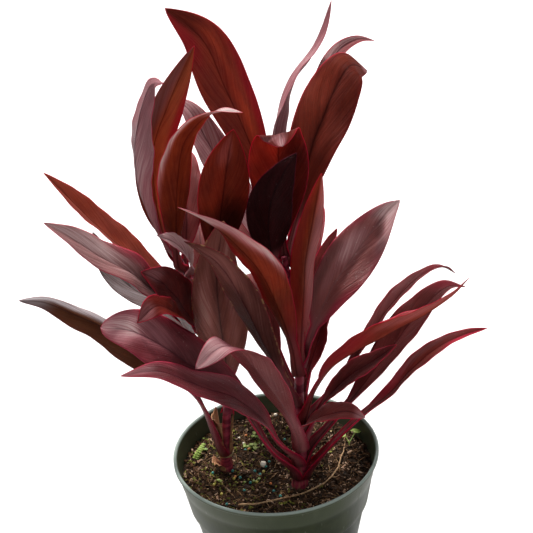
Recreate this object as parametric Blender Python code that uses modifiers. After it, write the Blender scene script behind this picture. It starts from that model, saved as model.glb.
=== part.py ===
"""Ti plant, a red Cordyline with two canes, in a round nursery pot.

Metres, +Z up. The origin is the middle of the pot's underside, which stands on z = 0.
Every leaf, cane and other piece is its own object in the collection "ti_plant".
Sizes in the tables below are in millimetres.
"""

import math

import bmesh
import bpy
import numpy as np
from mathutils import Matrix, Vector, noise

MM = 0.001

# Driving sizes of the pot, in millimetres
POT_HEIGHT = 125.0
RIM_RADIUS = 82.5
COLLAR_BOTTOM = 80.4
COLLAR_BOTTOM_RADIUS = 72.9
FOOT_RADIUS = 55.0
POT_WALL = 1.6
POT_STEPS = 44
DRAIN_HOLES = 8
DRAIN_RADIUS = 4.0
DRAIN_RING = 39.5

# The potting mix
SOIL_TOP = 108.0
SOIL_RELIEF = 1.3
PIECE_GAP = 0.3
CHIP_COUNT = 34
PRILL_COUNT = 12
CHIP_SEED = 11

# Leaves: thickness of blade and petiole, the petiole's usual half width, and how much wider it is
# where it clasps the cane
BLADE_THICKNESS = 0.85
PETIOLE_THICKNESS = 1.9
PETIOLE_HALF = 2.6
CLASP_SPREAD = 1.38
TIP_HALF = 0.6
BLADE_ROWS = 9
SMALL_BLADE_ROWS = 7
SMALL_HALF = 10.6
PETIOLE_ROWS = 3
ACROSS = 4

# A petiole leaves its cane at this slope: out and up over its first stretch
KNEE_OUT = 3.0
KNEE_UP = 9.0

# How deep a cane stands in the potting mix
CANE_DEPTH = 34.0

# Each cane: (x, y, z, radius) from the potting mix up
LEFT_CANE = [
    (-41, 1, 108, 5.4), (-40, 1, 122, 4.6), (-38, 2, 145, 3.6), (-35, 3, 173, 3.4), (-34, 4, 198, 3.3),
    (-39, 7, 231, 3.2), (-49, 10, 263, 3.0), (-59, 14, 287, 2.7), (-64, 16, 301, 2.2),
]
RIGHT_CANE = [
    (17, -27, 108, 6.8), (19, -26, 123, 5.6), (20, -24, 149, 4.6), (20, -21, 175, 4.0), (22, -18, 200, 3.6),
    (22, -15, 225, 3.3), (21, -10, 250, 3.0), (19, -5, 272, 2.7), (17, -1, 298, 2.2),
]

# Each leaf: the cane it grows on and the height there, the way its midrib takes from there to
# the tip, its half width, its petiole's half width where that isn't the usual one, how much of its
# length is petiole, where the blade is widest, its roll in degrees along the way, its fold at the
# midrib from petiole to tip, how much its blade cups, and how far its edges wave
LEAVES = {
    "leaf_right_01": dict(
        cane="right", at=129, half=13.5, stem=4.2, stalk=0.3, widest=0.45, roll=(-20, -45, -38, -28),
        fold=(20, 12),
        way=[(1, -44, 163), (-8, -54, 191), (-26, -64, 218), (-50, -74, 237), (-76, -82, 257),
             (-103, -90, 261)], wave=1.5),
    "leaf_right_02": dict(
        cane="right", at=117, half=21.5, stem=4, stalk=0.42, widest=0.6, roll=(-20, -45, -45, -40),
        fold=(20, 8),
        way=[(-4, -36, 148), (-17, -40, 182), (-28, -44, 211), (-58, -50, 242), (-80, -54, 265),
             (-97, -56, 277), (-117, -56, 281)], wave=1.5, full=0.55),
    "leaf_right_03": dict(
        cane="right", at=116, half=8.5, stem=3.4, stalk=0.42, widest=0.5, roll=(0, 10, 15, 15),
        fold=(25, 20),
        way=[(46, -32, 150), (66, -32, 171), (89, -32, 191), (107, -32, 212), (126, -34, 230),
             (144, -36, 240), (161, -40, 247)], wave=0.8),
    "leaf_right_04": dict(
        cane="right", at=142, half=14, stem=4.6, stalk=0.28, widest=0.6, roll=(10, 25, 5, -20),
        fold=(22, 8),
        way=[(16, -46, 174), (6, -60, 211), (-6, -72, 241), (-17, -84, 267), (-31, -96, 282),
             (-50, -104, 271)], wave=0.8, full=0.7),
    "leaf_right_05": dict(
        cane="right", at=156, half=10.5, stem=3.2, stalk=0.25, widest=0.5, roll=(0, 20, 20),
        fold=(22, 10),
        way=[(28, -44, 179), (40, -50, 188), (54, -54, 193), (68, -58, 189)], wave=0.8),
    "leaf_right_06": dict(
        cane="right", at=149, half=10, stem=3, stalk=0.38, widest=0.5, roll=(0, 25, 25), fold=(20, 15),
        way=[(36, -32, 182), (49, -34, 201), (64, -34, 214), (80, -34, 224), (95, -34, 235)], wave=0.6),
    "leaf_right_07": dict(
        cane="right", at=130, half=15.5, stem=3.2, stalk=0.3, widest=0.55, roll=(0, 10, 10, 0),
        fold=(22, 18),
        way=[(46, -14, 156), (68, -6, 178), (91, 2, 204), (116, 12, 231), (139, 20, 249),
             (157, 26, 246)], wave=1.0),
    "leaf_right_08": dict(
        cane="right", at=166, half=13.5, stem=3, stalk=0.28, widest=0.45, roll=(-10, -20, -20, -15),
        fold=(35, 50, 20),
        way=[(32, -38, 202), (46, -43, 226), (65, -47, 241), (90, -51, 257), (114, -55, 272),
             (132, -57, 286), (144, -58, 300)], wave=0.6),
    "leaf_right_09": dict(
        cane="right", at=154, half=8.5, stalk=0.32, widest=0.5, roll=(0, -10, -10), fold=(25, 25),
        way=[(54, 2, 184), (78, 18, 209), (94, 28, 227), (110, 36, 241), (127, 42, 251),
             (142, 48, 253), (154, 54, 243)], wave=0.6),
    "leaf_right_10": dict(
        cane="right", at=181, half=13, stem=3.4, stalk=0.22, widest=0.55, roll=(20, 35, 40, 40),
        fold=(25, 15),
        way=[(10, -32, 211), (-4, -38, 251), (-18, -44, 294), (-29, -46, 318), (-41, -44, 329),
             (-53, -40, 336)], wave=0.8),
    "leaf_right_11": dict(
        cane="right", at=188, half=9, stalk=0.25, widest=0.5, roll=(0, 10, 10), fold=(25, 20),
        way=[(32, -8, 208), (39, -1, 225), (46, 6, 246)], wave=0.5),
    "leaf_right_12": dict(
        cane="right", at=206, half=15, stem=3.8, stalk=0.22, widest=0.52, roll=(10, 15, 10, -25),
        fold=(28, 18),
        way=[(18, -32, 239), (10, -44, 278), (-2, -53, 316), (-19, -55, 341), (-36, -52, 356),
             (-54, -48, 366)], wave=1.0),
    "leaf_right_13": dict(
        cane="right", at=216, half=13, stalk=0.2, widest=0.45, roll=(-10, -30, -35), fold=(30, 50, 20),
        way=[(25, -29, 246), (28, -34, 278), (31, -34, 309), (38, -31, 340), (46, -27, 374)], wave=0.6,
        facing=-55),
    "leaf_right_14": dict(
        cane="right", at=211, half=19, stem=3.4, stalk=0.24, widest=0.5, roll=(20, 50, 50, 45),
        fold=(25, 12),
        way=[(33, -16, 236), (47, -10, 267), (59, -4, 283), (77, 6, 302), (94, 14, 319),
             (106, 20, 327)], wave=1.8),
    "leaf_right_15": dict(
        cane="right", at=234, half=6.5, stalk=0.25, widest=0.5, roll=(-30, -41, -41), fold=(30, 20),
        way=[(31, -5, 270), (37, -1, 303), (43, 4, 334)], wave=0.5),
    "leaf_right_16": dict(
        cane="right", at=224, half=9, stalk=0.25, widest=0.5, roll=(0, 0, 0), fold=(25, 15),
        way=[(40, 15, 261), (51, 30, 284), (60, 42, 297)], wave=0.5, facing=45),
    "leaf_right_17": dict(
        cane="right", at=284, half=17, stalk=0.18, widest=0.44, roll=(-20, -30, -35), fold=(25, 10),
        way=[(7, -16, 315), (9, -20, 349), (20, -20, 373), (30, -16, 386)], wave=0.8, facing=-65),
    "leaf_right_18": dict(
        cane="right", at=296, half=21.5, stalk=0.16, widest=0.58, roll=(14, 14, 14), fold=(22, 8, -4),
        way=[(17, 7, 314), (17, 8, 348), (18, 10, 377), (20, 5, 393), (21, -8, 388)], wave=0.5,
        facing=75, cup=0.05, full=0.6),
    "leaf_right_19": dict(
        cane="right", at=278, half=19, stalk=0.22, widest=0.62, roll=(-25, -22, -25, -30), fold=(22, 8),
        way=[(13, 12, 304), (9, 30, 332), (-3, 46, 374), (-17, 62, 409), (-31, 76, 443), (-57, 84, 467)],
        wave=1.4, facing=125),
    "leaf_right_20": dict(
        cane="right", at=288, half=20.5, stalk=0.2, widest=0.58, roll=(30, 32, 35, 40), fold=(22, -4),
        way=[(33, 27, 329), (43, 38, 365), (53, 48, 385), (65, 60, 405), (77, 70, 417),
             (91, 86, 407)], wave=1.2, facing=45, full=0.75),
    "leaf_right_21": dict(
        cane="right", at=262, half=8.5, stalk=0.3, widest=0.55, roll=(0, -15, 0, 40), fold=(25, 20),
        way=[(33, 13, 296), (41, 48, 353), (52, 72, 387), (60, 86, 407), (71, 98, 420), (86, 106, 425),
             (100, 114, 421)], wave=0.6, facing=55),
    "leaf_right_22": dict(
        cane="right", at=254, half=15, stalk=0.25, widest=0.55, roll=(0, -10, -10), fold=(25, 12),
        way=[(7, 10, 282), (-8, 34, 316), (-23, 53, 343), (-35, 64, 370), (-47, 72, 392), (-61, 78, 399)],
        wave=1.0, facing=135),
    "leaf_right_23": dict(
        cane="right", at=244, half=9, stalk=0.25, widest=0.6, roll=(10, 28, 28), fold=(25, 20),
        way=[(18, 14, 274), (8, 44, 318), (-4, 62, 349), (-12, 72, 369), (-23, 78, 374)],
        wave=0.5, facing=130),
    "leaf_right_24": dict(
        cane="right", at=269, half=11, stalk=0.25, widest=0.55, roll=(40, 70, 85, 120, 150),
        fold=(25, 25),
        way=[(14, 18, 300), (13, 46, 341), (19, 66, 378), (31, 80, 406), (50, 90, 426), (60, 96, 443),
             (67, 100, 459)], wave=0.8, facing=60),
    "leaf_right_25": dict(
        cane="right", at=200, half=15, stalk=0.3, widest=0.5, roll=(0, 0, 0), fold=(25, 12),
        way=[(25, 12, 236), (32, 34, 274), (38, 66, 292), (40, 100, 290), (40, 130, 268)],
        wave=1.2, facing=88),
    "leaf_right_26": dict(
        cane="right", at=211, half=14, stalk=0.25, widest=0.5, roll=(0, 5, 10), fold=(25, 15),
        way=[(12, 11, 244), (2, 30, 272), (-9, 56, 293), (-18, 84, 303), (-24, 112, 298)],
        wave=1.0, facing=103),
    "leaf_right_27": dict(
        cane="right", at=168, half=14, stalk=0.3, widest=0.5, roll=(0, 0, -5), fold=(25, 12),
        way=[(30, 6, 192), (40, 42, 219), (46, 78, 226), (50, 110, 212)], wave=1.2, facing=80),
    "leaf_right_28": dict(
        cane="right", at=176, half=13, stalk=0.3, widest=0.5, roll=(0, 0, 5), fold=(25, 12),
        way=[(10, 10, 200), (-3, 50, 226), (-12, 88, 234), (-18, 118, 222)], wave=1.0, facing=105),
    "leaf_left_01": dict(
        cane="left", at=124, half=12.5, stalk=0.42, widest=0.38, roll=(-10, -20, -50, -50),
        fold=(20, -15, -32, -12), full=0.75,
        way=[(-57, -10, 183), (-79, -18, 216), (-101, -24, 244), (-120, -30, 267), (-138, -34, 281),
             (-156, -38, 294.5), (-174, -40, 299)], wave=1.0),
    "leaf_left_02": dict(
        cane="left", at=214, half=15, stalk=0.28, widest=0.5, roll=(-20, -35, -35), fold=(22, 12),
        way=[(-65, -4, 257), (-80, -11, 282), (-95, -18, 303), (-112, -26, 320), (-129, -34, 340),
             (-147, -44, 360)], wave=1.6),
    "leaf_left_03": dict(
        cane="left", at=190, half=13.5, stalk=0.3, widest=0.5, roll=(0, -20, -20), fold=(25, 12),
        way=[(-76, 36, 239), (-106, 52, 255), (-124, 62, 276), (-131, 68, 297)], wave=1.2),
    "leaf_left_04": dict(
        cane="left", at=224, half=16, stalk=0.25, widest=0.5, roll=(-30, -60, -50), fold=(25, 15),
        way=[(-57, 0, 252), (-71, -7, 283), (-88, -16, 302)], wave=1.2),
    "leaf_left_05": dict(
        cane="left", at=200, half=15, stalk=0.42, widest=0.45, roll=(0, -35, -30, -20), fold=(25, 12),
        way=[(-55, -4, 224), (-60, -19, 254), (-66, -38, 278), (-77, -48, 290), (-91, -53, 281)], wave=0.8),
    "leaf_left_06": dict(
        cane="left", at=236, half=14.5, stalk=0.28, widest=0.5, roll=(0, 0, -5), fold=(28, 28),
        way=[(-62, 19, 265), (-85, 24, 284), (-99, 28, 296), (-112, 32, 307), (-133, 36, 331),
             (-157, 40, 362)], wave=0.8),
    "leaf_left_07": dict(
        cane="left", at=176, half=20.5, stalk=0.16, widest=0.44, roll=(-5, -5, -5), fold=(20, 8),
        way=[(-33, -8, 202), (-33, -12, 228), (-34, -16, 256), (-34, -19, 283), (-32, -19, 306),
             (-28, -16, 324), (-25, -12, 336)], wave=1.4, facing=-85, full=0.6),
    "leaf_left_08": dict(
        cane="left", at=229, half=19, stalk=0.3, widest=0.58, roll=(20, 33, 30), fold=(22, 10),
        way=[(-33, 22, 261), (-31, 26, 302), (-24, 26, 343), (-18, 24, 372), (-13, 20, 393)],
        wave=1.0, facing=55),
    "leaf_left_09": dict(
        cane="left", at=274, half=10, stalk=0.25, widest=0.5, roll=(-20, -50, -40), fold=(25, 15),
        way=[(-52, -4, 299), (-60, -14, 321), (-73, -21, 333)], wave=0.8, facing=-135),
    "leaf_left_10": dict(
        cane="left", at=298, half=16, stalk=0.15, widest=0.55, roll=(-10, -15, -15), fold=(25, 15),
        way=[(-79, 8, 335), (-84, 4, 365), (-80, -2, 405), (-71, -4, 431), (-65, -8, 441),
             (-57, -14, 443)], wave=0.8, facing=-135),
    "leaf_left_11": dict(
        cane="left", at=290, half=16.5, stalk=0.15, widest=0.45, roll=(45, 60, 62), fold=(30, 40, 20),
        way=[(-75, 30, 331), (-73, 33, 376), (-59, 36, 409), (-45, 39, 435), (-36, 39, 451)],
        wave=0.6, facing=30),
    "leaf_left_12": dict(
        cane="left", at=286, half=14, stalk=0.12, widest=0.5, roll=(-10, -10, 0, 0), fold=(25, 12),
        way=[(-60, -2, 331), (-55, -9, 370), (-47, -17, 400), (-34, -27, 419), (-20, -36, 428),
             (-5, -44, 429)], wave=0.8, facing=-55),
    "leaf_left_13": dict(
        cane="left", at=218, half=15, stalk=0.25, widest=0.5, roll=(0, 0, 0), fold=(25, 12),
        way=[(-44, 36, 262), (-48, 76, 286), (-50, 112, 280), (-50, 138, 256)], wave=1.2, facing=95),
    "leaf_left_14": dict(
        cane="left", at=276, half=14, stalk=0.2, widest=0.5, roll=(0, 5, 5), fold=(25, 12),
        way=[(-54, 36, 318), (-54, 66, 345), (-50, 94, 350)], wave=1.0, facing=88),
    "leaf_left_15": dict(
        cane="left", at=158, half=13, stalk=0.25, widest=0.5, roll=(0, 0, 0), fold=(25, 12),
        way=[(-30, 30, 190), (-26, 66, 212), (-24, 98, 210)], wave=1.0, facing=85),
}

# The dry twig on the potting mix, and each weed's foot and height
TWIG_WAY = [(-32, -49), (-18, -49), (0, -45), (20, -40), (38, -28), (48, -12), (53, 4), (57, 20), (59, 33)]
TWIG_RADIUS = 1.0
CLOVER_FOOT = (61, 20)
FERN_FOOT = (-66, 16)


def clear_scene():
    for thing in list(bpy.data.objects):
        bpy.data.objects.remove(thing, do_unlink=True)


def make_collection(name):
    group = bpy.data.collections.new(name)
    bpy.context.scene.collection.children.link(group)
    return group


def make_material(name, colour, roughness):
    material = bpy.data.materials.new(name)
    material.use_nodes = True
    shader = material.node_tree.nodes["Principled BSDF"]
    shader.inputs["Base Color"].default_value = (*colour, 1.0)
    shader.inputs["Roughness"].default_value = roughness
    shader.inputs["Metallic"].default_value = 0.0
    return material


def add_object(name, data, group, material=None):
    thing = bpy.data.objects.new(name, data)
    group.objects.link(thing)
    if material is not None:
        data.materials.append(material)
    return thing


def baked_copy(thing):
    """Turn an object and its modifiers into a plain mesh object in the same place."""
    bpy.context.view_layer.update()
    depsgraph = bpy.context.evaluated_depsgraph_get()
    mesh = bpy.data.meshes.new_from_object(thing.evaluated_get(depsgraph))
    mesh.name = thing.name
    tidy = bmesh.new()
    tidy.from_mesh(mesh)
    bmesh.ops.remove_doubles(tidy, verts=tidy.verts, dist=0.000005)
    bmesh.ops.recalc_face_normals(tidy, faces=tidy.faces)
    tidy.to_mesh(mesh)
    tidy.free()
    name = thing.name
    group = thing.users_collection[0]
    matrix = thing.matrix_world.copy()
    bpy.data.objects.remove(thing, do_unlink=True)
    copy = bpy.data.objects.new(name, mesh)
    copy.matrix_world = matrix
    group.objects.link(copy)
    return copy


def smooth_way(points, count):
    """Points spaced evenly along a smooth curve through the given points."""
    knots = np.array(points, float)
    padded = np.vstack([2 * knots[0] - knots[1], knots, 2 * knots[-1] - knots[-2]])
    fine = []
    for p0, p1, p2, p3 in zip(padded, padded[1:], padded[2:], padded[3:]):
        for u in np.linspace(0, 1, 16, endpoint=False):
            fine.append(0.5 * (2 * p1 + (p2 - p0) * u + (2 * p0 - 5 * p1 + 4 * p2 - p3) * u ** 2
                               + (3 * p1 - p0 - 3 * p2 + p3) * u ** 3))
    fine.append(knots[-1])
    fine = np.array(fine)
    steps = np.linalg.norm(np.diff(fine[:, :3], axis=0), axis=1)
    along = np.concatenate([[0.0], np.cumsum(steps)])
    wanted = np.asarray(count) * along[-1] if np.ndim(count) else np.linspace(0, along[-1], count)
    return np.stack([np.interp(wanted, along, fine[:, i]) for i in range(fine.shape[1])], axis=-1)


def eased(values, t):
    """A value at t from 0 to 1, eased between the given values."""
    if len(values) == 1:
        return float(values[0])
    place = min(max(t, 0.0), 1.0) * (len(values) - 1)
    index = min(int(place), len(values) - 2)
    u = place - index
    u = u * u * (3 - 2 * u)
    return values[index] * (1 - u) + values[index + 1] * u


CANES = {"left": LEFT_CANE, "right": RIGHT_CANE}


def cane_at(cane, height):
    """The cane's axis point and radius at a height."""
    way = smooth_way(CANES[cane], 120)
    return [float(np.interp(height, way[:, 2], way[:, i])) for i in (0, 1, 3)]


def leaf_start(spec):
    """The petiole's first two points, just off the cane's skin, and the side that it grows to."""
    x, y, radius = cane_at(spec["cane"], spec["at"])
    heading = np.array(spec["way"][0][:2], float) - (x, y)
    heading /= np.linalg.norm(heading)
    reach = radius + PETIOLE_THICKNESS / 2 + 0.8
    base = (x + heading[0] * reach, y + heading[1] * reach, spec["at"])
    reach += KNEE_OUT
    drift = np.subtract(cane_at(spec["cane"], spec["at"] + KNEE_UP)[:2], (x, y))
    knee = (x + drift[0] + heading[0] * reach, y + drift[1] + heading[1] * reach, spec["at"] + KNEE_UP)
    return [base, knee], math.atan2(heading[1], heading[0])


def half_width(spec, t):
    """Half the leaf's width at t along it, and how much of it is blade."""
    stalk = spec["stalk"]
    u = (t - stalk) / (1 - stalk)
    stem = spec.get("stem", PETIOLE_HALF)
    if u <= 0:
        return stem * (1 + (CLASP_SPREAD - 1) * (1 - t / stalk) ** 2)
    widest = spec["widest"]
    swell = math.sin(math.pi * u ** (math.log(0.5) / math.log(widest))) ** spec.get("full", 0.85)
    narrow = stem * (1 - u)
    return narrow + (spec["half"] - stem * (1 - widest)) * swell + TIP_HALF * u


def leaf_frames(spec, stations):
    """The midrib's points, with the blade's sideways and upward directions there."""
    start, heading = leaf_start(spec)
    points = start + spec["way"]
    way = smooth_way(points, stations)
    ahead = smooth_way(points, np.minimum(stations + 0.01, 1.0))
    behind = smooth_way(points, np.maximum(stations - 0.01, 0.0))
    tangents = ahead - behind
    tangents /= np.linalg.norm(tangents, axis=1)[:, None]
    out = np.subtract(smooth_way(points, [0.6])[0], start[0])
    facing = math.radians(spec["facing"]) if "facing" in spec else math.atan2(out[1], out[0])
    turn = math.remainder(facing - heading, math.tau)
    settled = np.array([eased((0.0, 1.0), t / spec["stalk"]) for t in stations])
    angles = heading + turn * settled
    level = np.stack([-np.sin(angles), np.cos(angles), 0 * angles], axis=-1)
    sides = level - tangents * np.sum(tangents * level, axis=1)[:, None]
    sides /= np.linalg.norm(sides, axis=1)[:, None]
    ups = np.cross(tangents, sides)
    rolls = np.radians([eased(spec["roll"], t) for t in stations] * settled)[:, None]
    rolled = sides * np.cos(rolls) + ups * np.sin(rolls)
    return way, rolled, np.cross(tangents, rolled)


def leaf_stations(spec):
    """Where along a leaf its rows of points lie; a small leaf has fewer."""
    petiole = np.linspace(0, spec["stalk"], PETIOLE_ROWS, endpoint=False)
    rows = SMALL_BLADE_ROWS if spec["half"] < SMALL_HALF else BLADE_ROWS
    return np.concatenate([petiole, np.linspace(spec["stalk"], 1.0, rows + 1)])


def leaf_offset(spec, t, across):
    """How far a point lies sideways and upward of the midrib; across runs from -1 to 1."""
    half = half_width(spec, t)
    blade = min(max((t - spec["stalk"]) / (1 - spec["stalk"]), 0.0), 1.0)
    fold = math.radians(eased(spec["fold"], t))
    wave = spec.get("wave", 0.0) * math.sin(math.pi * blade) * abs(across) ** 1.6
    wave *= math.sin(2 * math.pi * spec.get("waves", 2.3) * blade + (0.6 if across > 0 else 2.4))
    cup = spec.get("cup", 0.0) * half * across * across * blade
    return across * half * math.cos(fold), abs(across) * half * math.sin(fold) + wave + cup


def build_leaf(name, spec, group, material):
    stations = leaf_stations(spec)
    way, sides, ups = leaf_frames(spec, stations)
    last = len(stations) - 1
    sheet = bmesh.new()
    weights = sheet.verts.layers.deform.verify()
    bmesh.ops.create_grid(sheet, x_segments=last, y_segments=ACROSS, size=0.5)
    for vert in sheet.verts:
        row = round((vert.co.x + 0.5) * last)
        sideways, upward = leaf_offset(spec, stations[row], vert.co.y * 2)
        vert.co = Vector((way[row] + sides[row] * sideways + ups[row] * upward) * MM)
        is_blade = stations[row] >= spec["stalk"]
        vert[weights][0] = BLADE_THICKNESS / PETIOLE_THICKNESS if is_blade else 1.0
    bmesh.ops.triangulate(sheet, faces=sheet.faces, quad_method="FIXED")
    mesh = bpy.data.meshes.new(name)
    sheet.to_mesh(mesh)
    sheet.free()
    leaf = add_object(name, mesh, group, material)
    leaf.vertex_groups.new(name="thickness")
    solid = leaf.modifiers.new("thickness", "SOLIDIFY")
    solid.thickness = PETIOLE_THICKNESS * MM
    solid.offset = 0.0
    solid.vertex_group = "thickness"
    return leaf


def build_tube(name, points, radii, group, material, resolution=2):
    """A round tube with filled caps along points, in millimetres."""
    curve = bpy.data.curves.new(name, "CURVE")
    curve.dimensions = "3D"
    curve.bevel_depth = MM
    curve.bevel_resolution = resolution
    curve.use_fill_caps = True
    curve.resolution_u = 1
    curve.render_resolution_u = 0
    spline = curve.splines.new("POLY")
    spline.points.add(len(points) - 1)
    for point, place, radius in zip(spline.points, points, radii):
        point.co = (*(np.array(place, float) * MM), 1.0)
        point.radius = radius
    return add_object(name, curve, group, material)


def build_cane(name, cane, group, material):
    """A cane: straight down into its hole, ringed where old leaves fell."""
    way = smooth_way(CANES[cane], 19)
    foot = way[0].copy()
    points = [(foot[0], foot[1], SOIL_TOP - CANE_DEPTH), (foot[0], foot[1], SOIL_TOP - CANE_DEPTH + 2)]
    radii = [foot[3] - 1.0, foot[3]]
    for index, place in enumerate(way):
        points.append(tuple(place[:3]))
        ring = 0.25 if index % 2 else 0.0
        radii.append(place[3] - ring if index else foot[3])
    return build_tube(name, points, radii, group, material)


def turned(name, profile, group, material=None):
    """A profile of (radius, height) in millimetres turned about the z axis."""
    sketch = bmesh.new()
    row = [sketch.verts.new((radius * MM, 0.0, height * MM)) for radius, height in profile]
    for first, second in zip(row, row[1:]):
        sketch.edges.new((first, second))
    mesh = bpy.data.meshes.new(name)
    sketch.to_mesh(mesh)
    sketch.free()
    thing = add_object(name, mesh, group, material)
    screw = thing.modifiers.new("turn", "SCREW")
    screw.steps = POT_STEPS
    screw.render_steps = POT_STEPS
    screw.use_merge_vertices = True
    screw.merge_threshold = 0.00001
    return thing


def pot_profile():
    """From the middle of the floor up the inside, over the lip and down the outside."""
    lip = RIM_RADIUS
    step = COLLAR_BOTTOM_RADIUS
    inside = [
        (0, 3.0), (FOOT_RADIUS - POT_WALL - 1.0, 3.0), (step - POT_WALL - 2.4, COLLAR_BOTTOM - 2.0),
        (step - POT_WALL + 0.2, COLLAR_BOTTOM + 1.2), (lip - 3.0, POT_HEIGHT - 3.0),
        (lip - 2.4, POT_HEIGHT - 0.6),
    ]
    rim = [(lip - 1.2, POT_HEIGHT), (lip, POT_HEIGHT - 1.1), (lip, POT_HEIGHT - 3.2),
           (lip - 1.6, POT_HEIGHT - 4.2)]
    outside = [
        (lip - 4.4, POT_HEIGHT - 18.0), (step, COLLAR_BOTTOM), (step - 2.2, COLLAR_BOTTOM - 1.4),
        (FOOT_RADIUS + 0.4, 2.0), (FOOT_RADIUS - 1.2, 0.0),
    ]
    underside = [(FOOT_RADIUS - 8.0, 0.0), (FOOT_RADIUS - 9.0, 1.2), (33.0, 1.2), (32.0, 0.0), (0, 0)]
    return inside + rim + outside + underside


def cutter_cylinder(name, place, radius, height, group):
    bpy.ops.mesh.primitive_cylinder_add(vertices=12, radius=radius * MM, depth=height * MM,
                                        location=[c * MM for c in place])
    cutter = bpy.context.object
    cutter.name = name
    for owner in list(cutter.users_collection):
        owner.objects.unlink(cutter)
    group.objects.link(cutter)
    cutter.hide_render = True
    cutter.display_type = "WIRE"
    return cutter


def cut_with(thing, group):
    cut = thing.modifiers.new(group.name, "BOOLEAN")
    cut.operation = "DIFFERENCE"
    cut.operand_type = "COLLECTION"
    cut.collection = group
    cut.solver = "EXACT"


def build_pot(group, cutters, material):
    pot = turned("pot", pot_profile(), group, material)
    for index in range(DRAIN_HOLES):
        angle = math.tau * (index + 0.5) / DRAIN_HOLES
        place = (DRAIN_RING * math.cos(angle), DRAIN_RING * math.sin(angle), 2.0)
        cutter_cylinder(f"drain_{index}", place, DRAIN_RADIUS, 8.0, cutters)
    cut_with(pot, cutters)
    return pot


def inner_radius(height):
    """The pot's inner radius at a height."""
    wall = sorted((z, r) for r, z in pot_profile()[1:5])
    return float(np.interp(height, [z for z, _ in wall], [r for _, r in wall]))


def soil_height(x, y):
    """The potting mix's top: heaped a little, and crumbly."""
    reach = math.hypot(x, y) / inner_radius(SOIL_TOP)
    calm = 1.0 - min(reach, 1.0) ** 6
    coarse = noise.noise(Vector((x * 0.05, y * 0.05, 3.7)))
    crumbs = noise.noise(Vector((x * 0.21, y * 0.21, 8.1)))
    return SOIL_TOP + calm * SOIL_RELIEF * (0.9 * coarse + 0.8 * crumbs)


def near_fixed_place(x, y):
    """Whether a loose piece at this place would lie in a stem's hole, a weed or the twig."""
    spots = [(LEFT_CANE[0], 11.0), (RIGHT_CANE[0], 13.0), (CLOVER_FOOT, 6.0), (FERN_FOOT, 7.0)]
    if any(math.hypot(x - spot[0], y - spot[1]) < reach for spot, reach in spots):
        return True
    twig = smooth_way(TWIG_WAY, 60)
    return bool(np.min(np.hypot(twig[:, 0] - x, twig[:, 1] - y)) < 6.5)


def scatter_places(random, count, apart):
    places = []
    reach = inner_radius(SOIL_TOP) - 6.0
    while len(places) < count:
        x, y = random.uniform(-reach, reach, 2)
        if math.hypot(x, y) > reach or near_fixed_place(x, y):
            continue
        if all(math.hypot(x - px, y - py) > apart for px, py in places):
            places.append((x, y))
    return places


def add_chips(group):
    """Bark chips lying half sunk in the potting mix, then round feed prills and perlite."""
    random = np.random.default_rng(CHIP_SEED)
    places = scatter_places(random, CHIP_COUNT + PRILL_COUNT, 8.0)
    for index, (x, y) in enumerate(places):
        height = soil_height(x, y)
        shape = bmesh.new()
        if index < CHIP_COUNT:
            bmesh.ops.create_cube(shape, size=1.0)
            length, width = random.uniform(5.0, 9.0), random.uniform(2.2, 3.6)
            scale = Matrix.Diagonal((length, width, 2.4, 1.0))
            tilt = Matrix.Rotation(random.uniform(-0.25, 0.25), 4, "X")
            turn = Matrix.Rotation(random.uniform(0, math.pi), 4, "Z")
            place = Matrix.Translation((x, y, height + 0.2)) @ turn @ tilt @ scale
        else:
            bmesh.ops.create_icosphere(shape, subdivisions=1, radius=random.choice([1.2, 1.3, 1.9]))
            place = Matrix.Translation((x, y, height + 0.6))
        shape.transform(Matrix.Scale(MM, 4) @ place)
        mesh = bpy.data.meshes.new(f"chip_{index:02d}")
        shape.to_mesh(mesh)
        shape.free()
        add_object(mesh.name, mesh, group)


def build_soil(group, cutters, material):
    """The potting mix: a turned block with a crumbly top, chips fused in and holes for stems."""
    gap = PIECE_GAP
    top = inner_radius(SOIL_TOP) - gap
    rings = [(top * share, SOIL_TOP) for share in np.linspace(0, 1, 10)]
    step = COLLAR_BOTTOM_RADIUS - POT_WALL
    side = [(step - gap, COLLAR_BOTTOM + 1.4), (step - 2.6 - gap, COLLAR_BOTTOM - 1.8),
            (FOOT_RADIUS - POT_WALL - 1.2 - gap, 3.0 + gap), (0, 3.0 + gap)]
    soil = baked_copy(turned("soil_block", rings + side, group))
    for vert in soil.data.vertices:
        if vert.co.z > (SOIL_TOP - 1.0) * MM:
            vert.co.z = soil_height(vert.co.x / MM, vert.co.y / MM) * MM
    chips = make_collection("chips")
    add_chips(chips)
    union = soil.modifiers.new("chips", "BOOLEAN")
    union.operation = "UNION"
    union.operand_type = "COLLECTION"
    union.collection = chips
    union.solver = "MANIFOLD"
    soil = baked_copy(soil)
    for chip in list(chips.objects):
        bpy.data.objects.remove(chip, do_unlink=True)
    bpy.data.collections.remove(chips)
    for name, foot in (("left_hole", LEFT_CANE[0]), ("right_hole", RIGHT_CANE[0])):
        deep = CANE_DEPTH + gap
        place = (foot[0], foot[1], SOIL_TOP - deep + 25.0)
        cutter_cylinder(name, place, foot[3] + 2 * gap, 50.0, cutters)
    for name, foot in (("clover_hole", CLOVER_FOOT), ("fern_hole", FERN_FOOT)):
        cutter_cylinder(name, (*foot, SOIL_TOP + 2.0), 1.0, 12.0, cutters)
    cut_with(soil, cutters)
    soil.name = "soil"
    soil.data.name = "soil"
    soil.data.materials.append(material)
    return soil


def resting_height(x, y, radius):
    """How high a round piece lies when it rests on the crumbly top near a place."""
    around = [soil_height(x + dx, y + dy) for dx in (-3, 0, 3) for dy in (-3, 0, 3)]
    return max(around) + radius + PIECE_GAP


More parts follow.
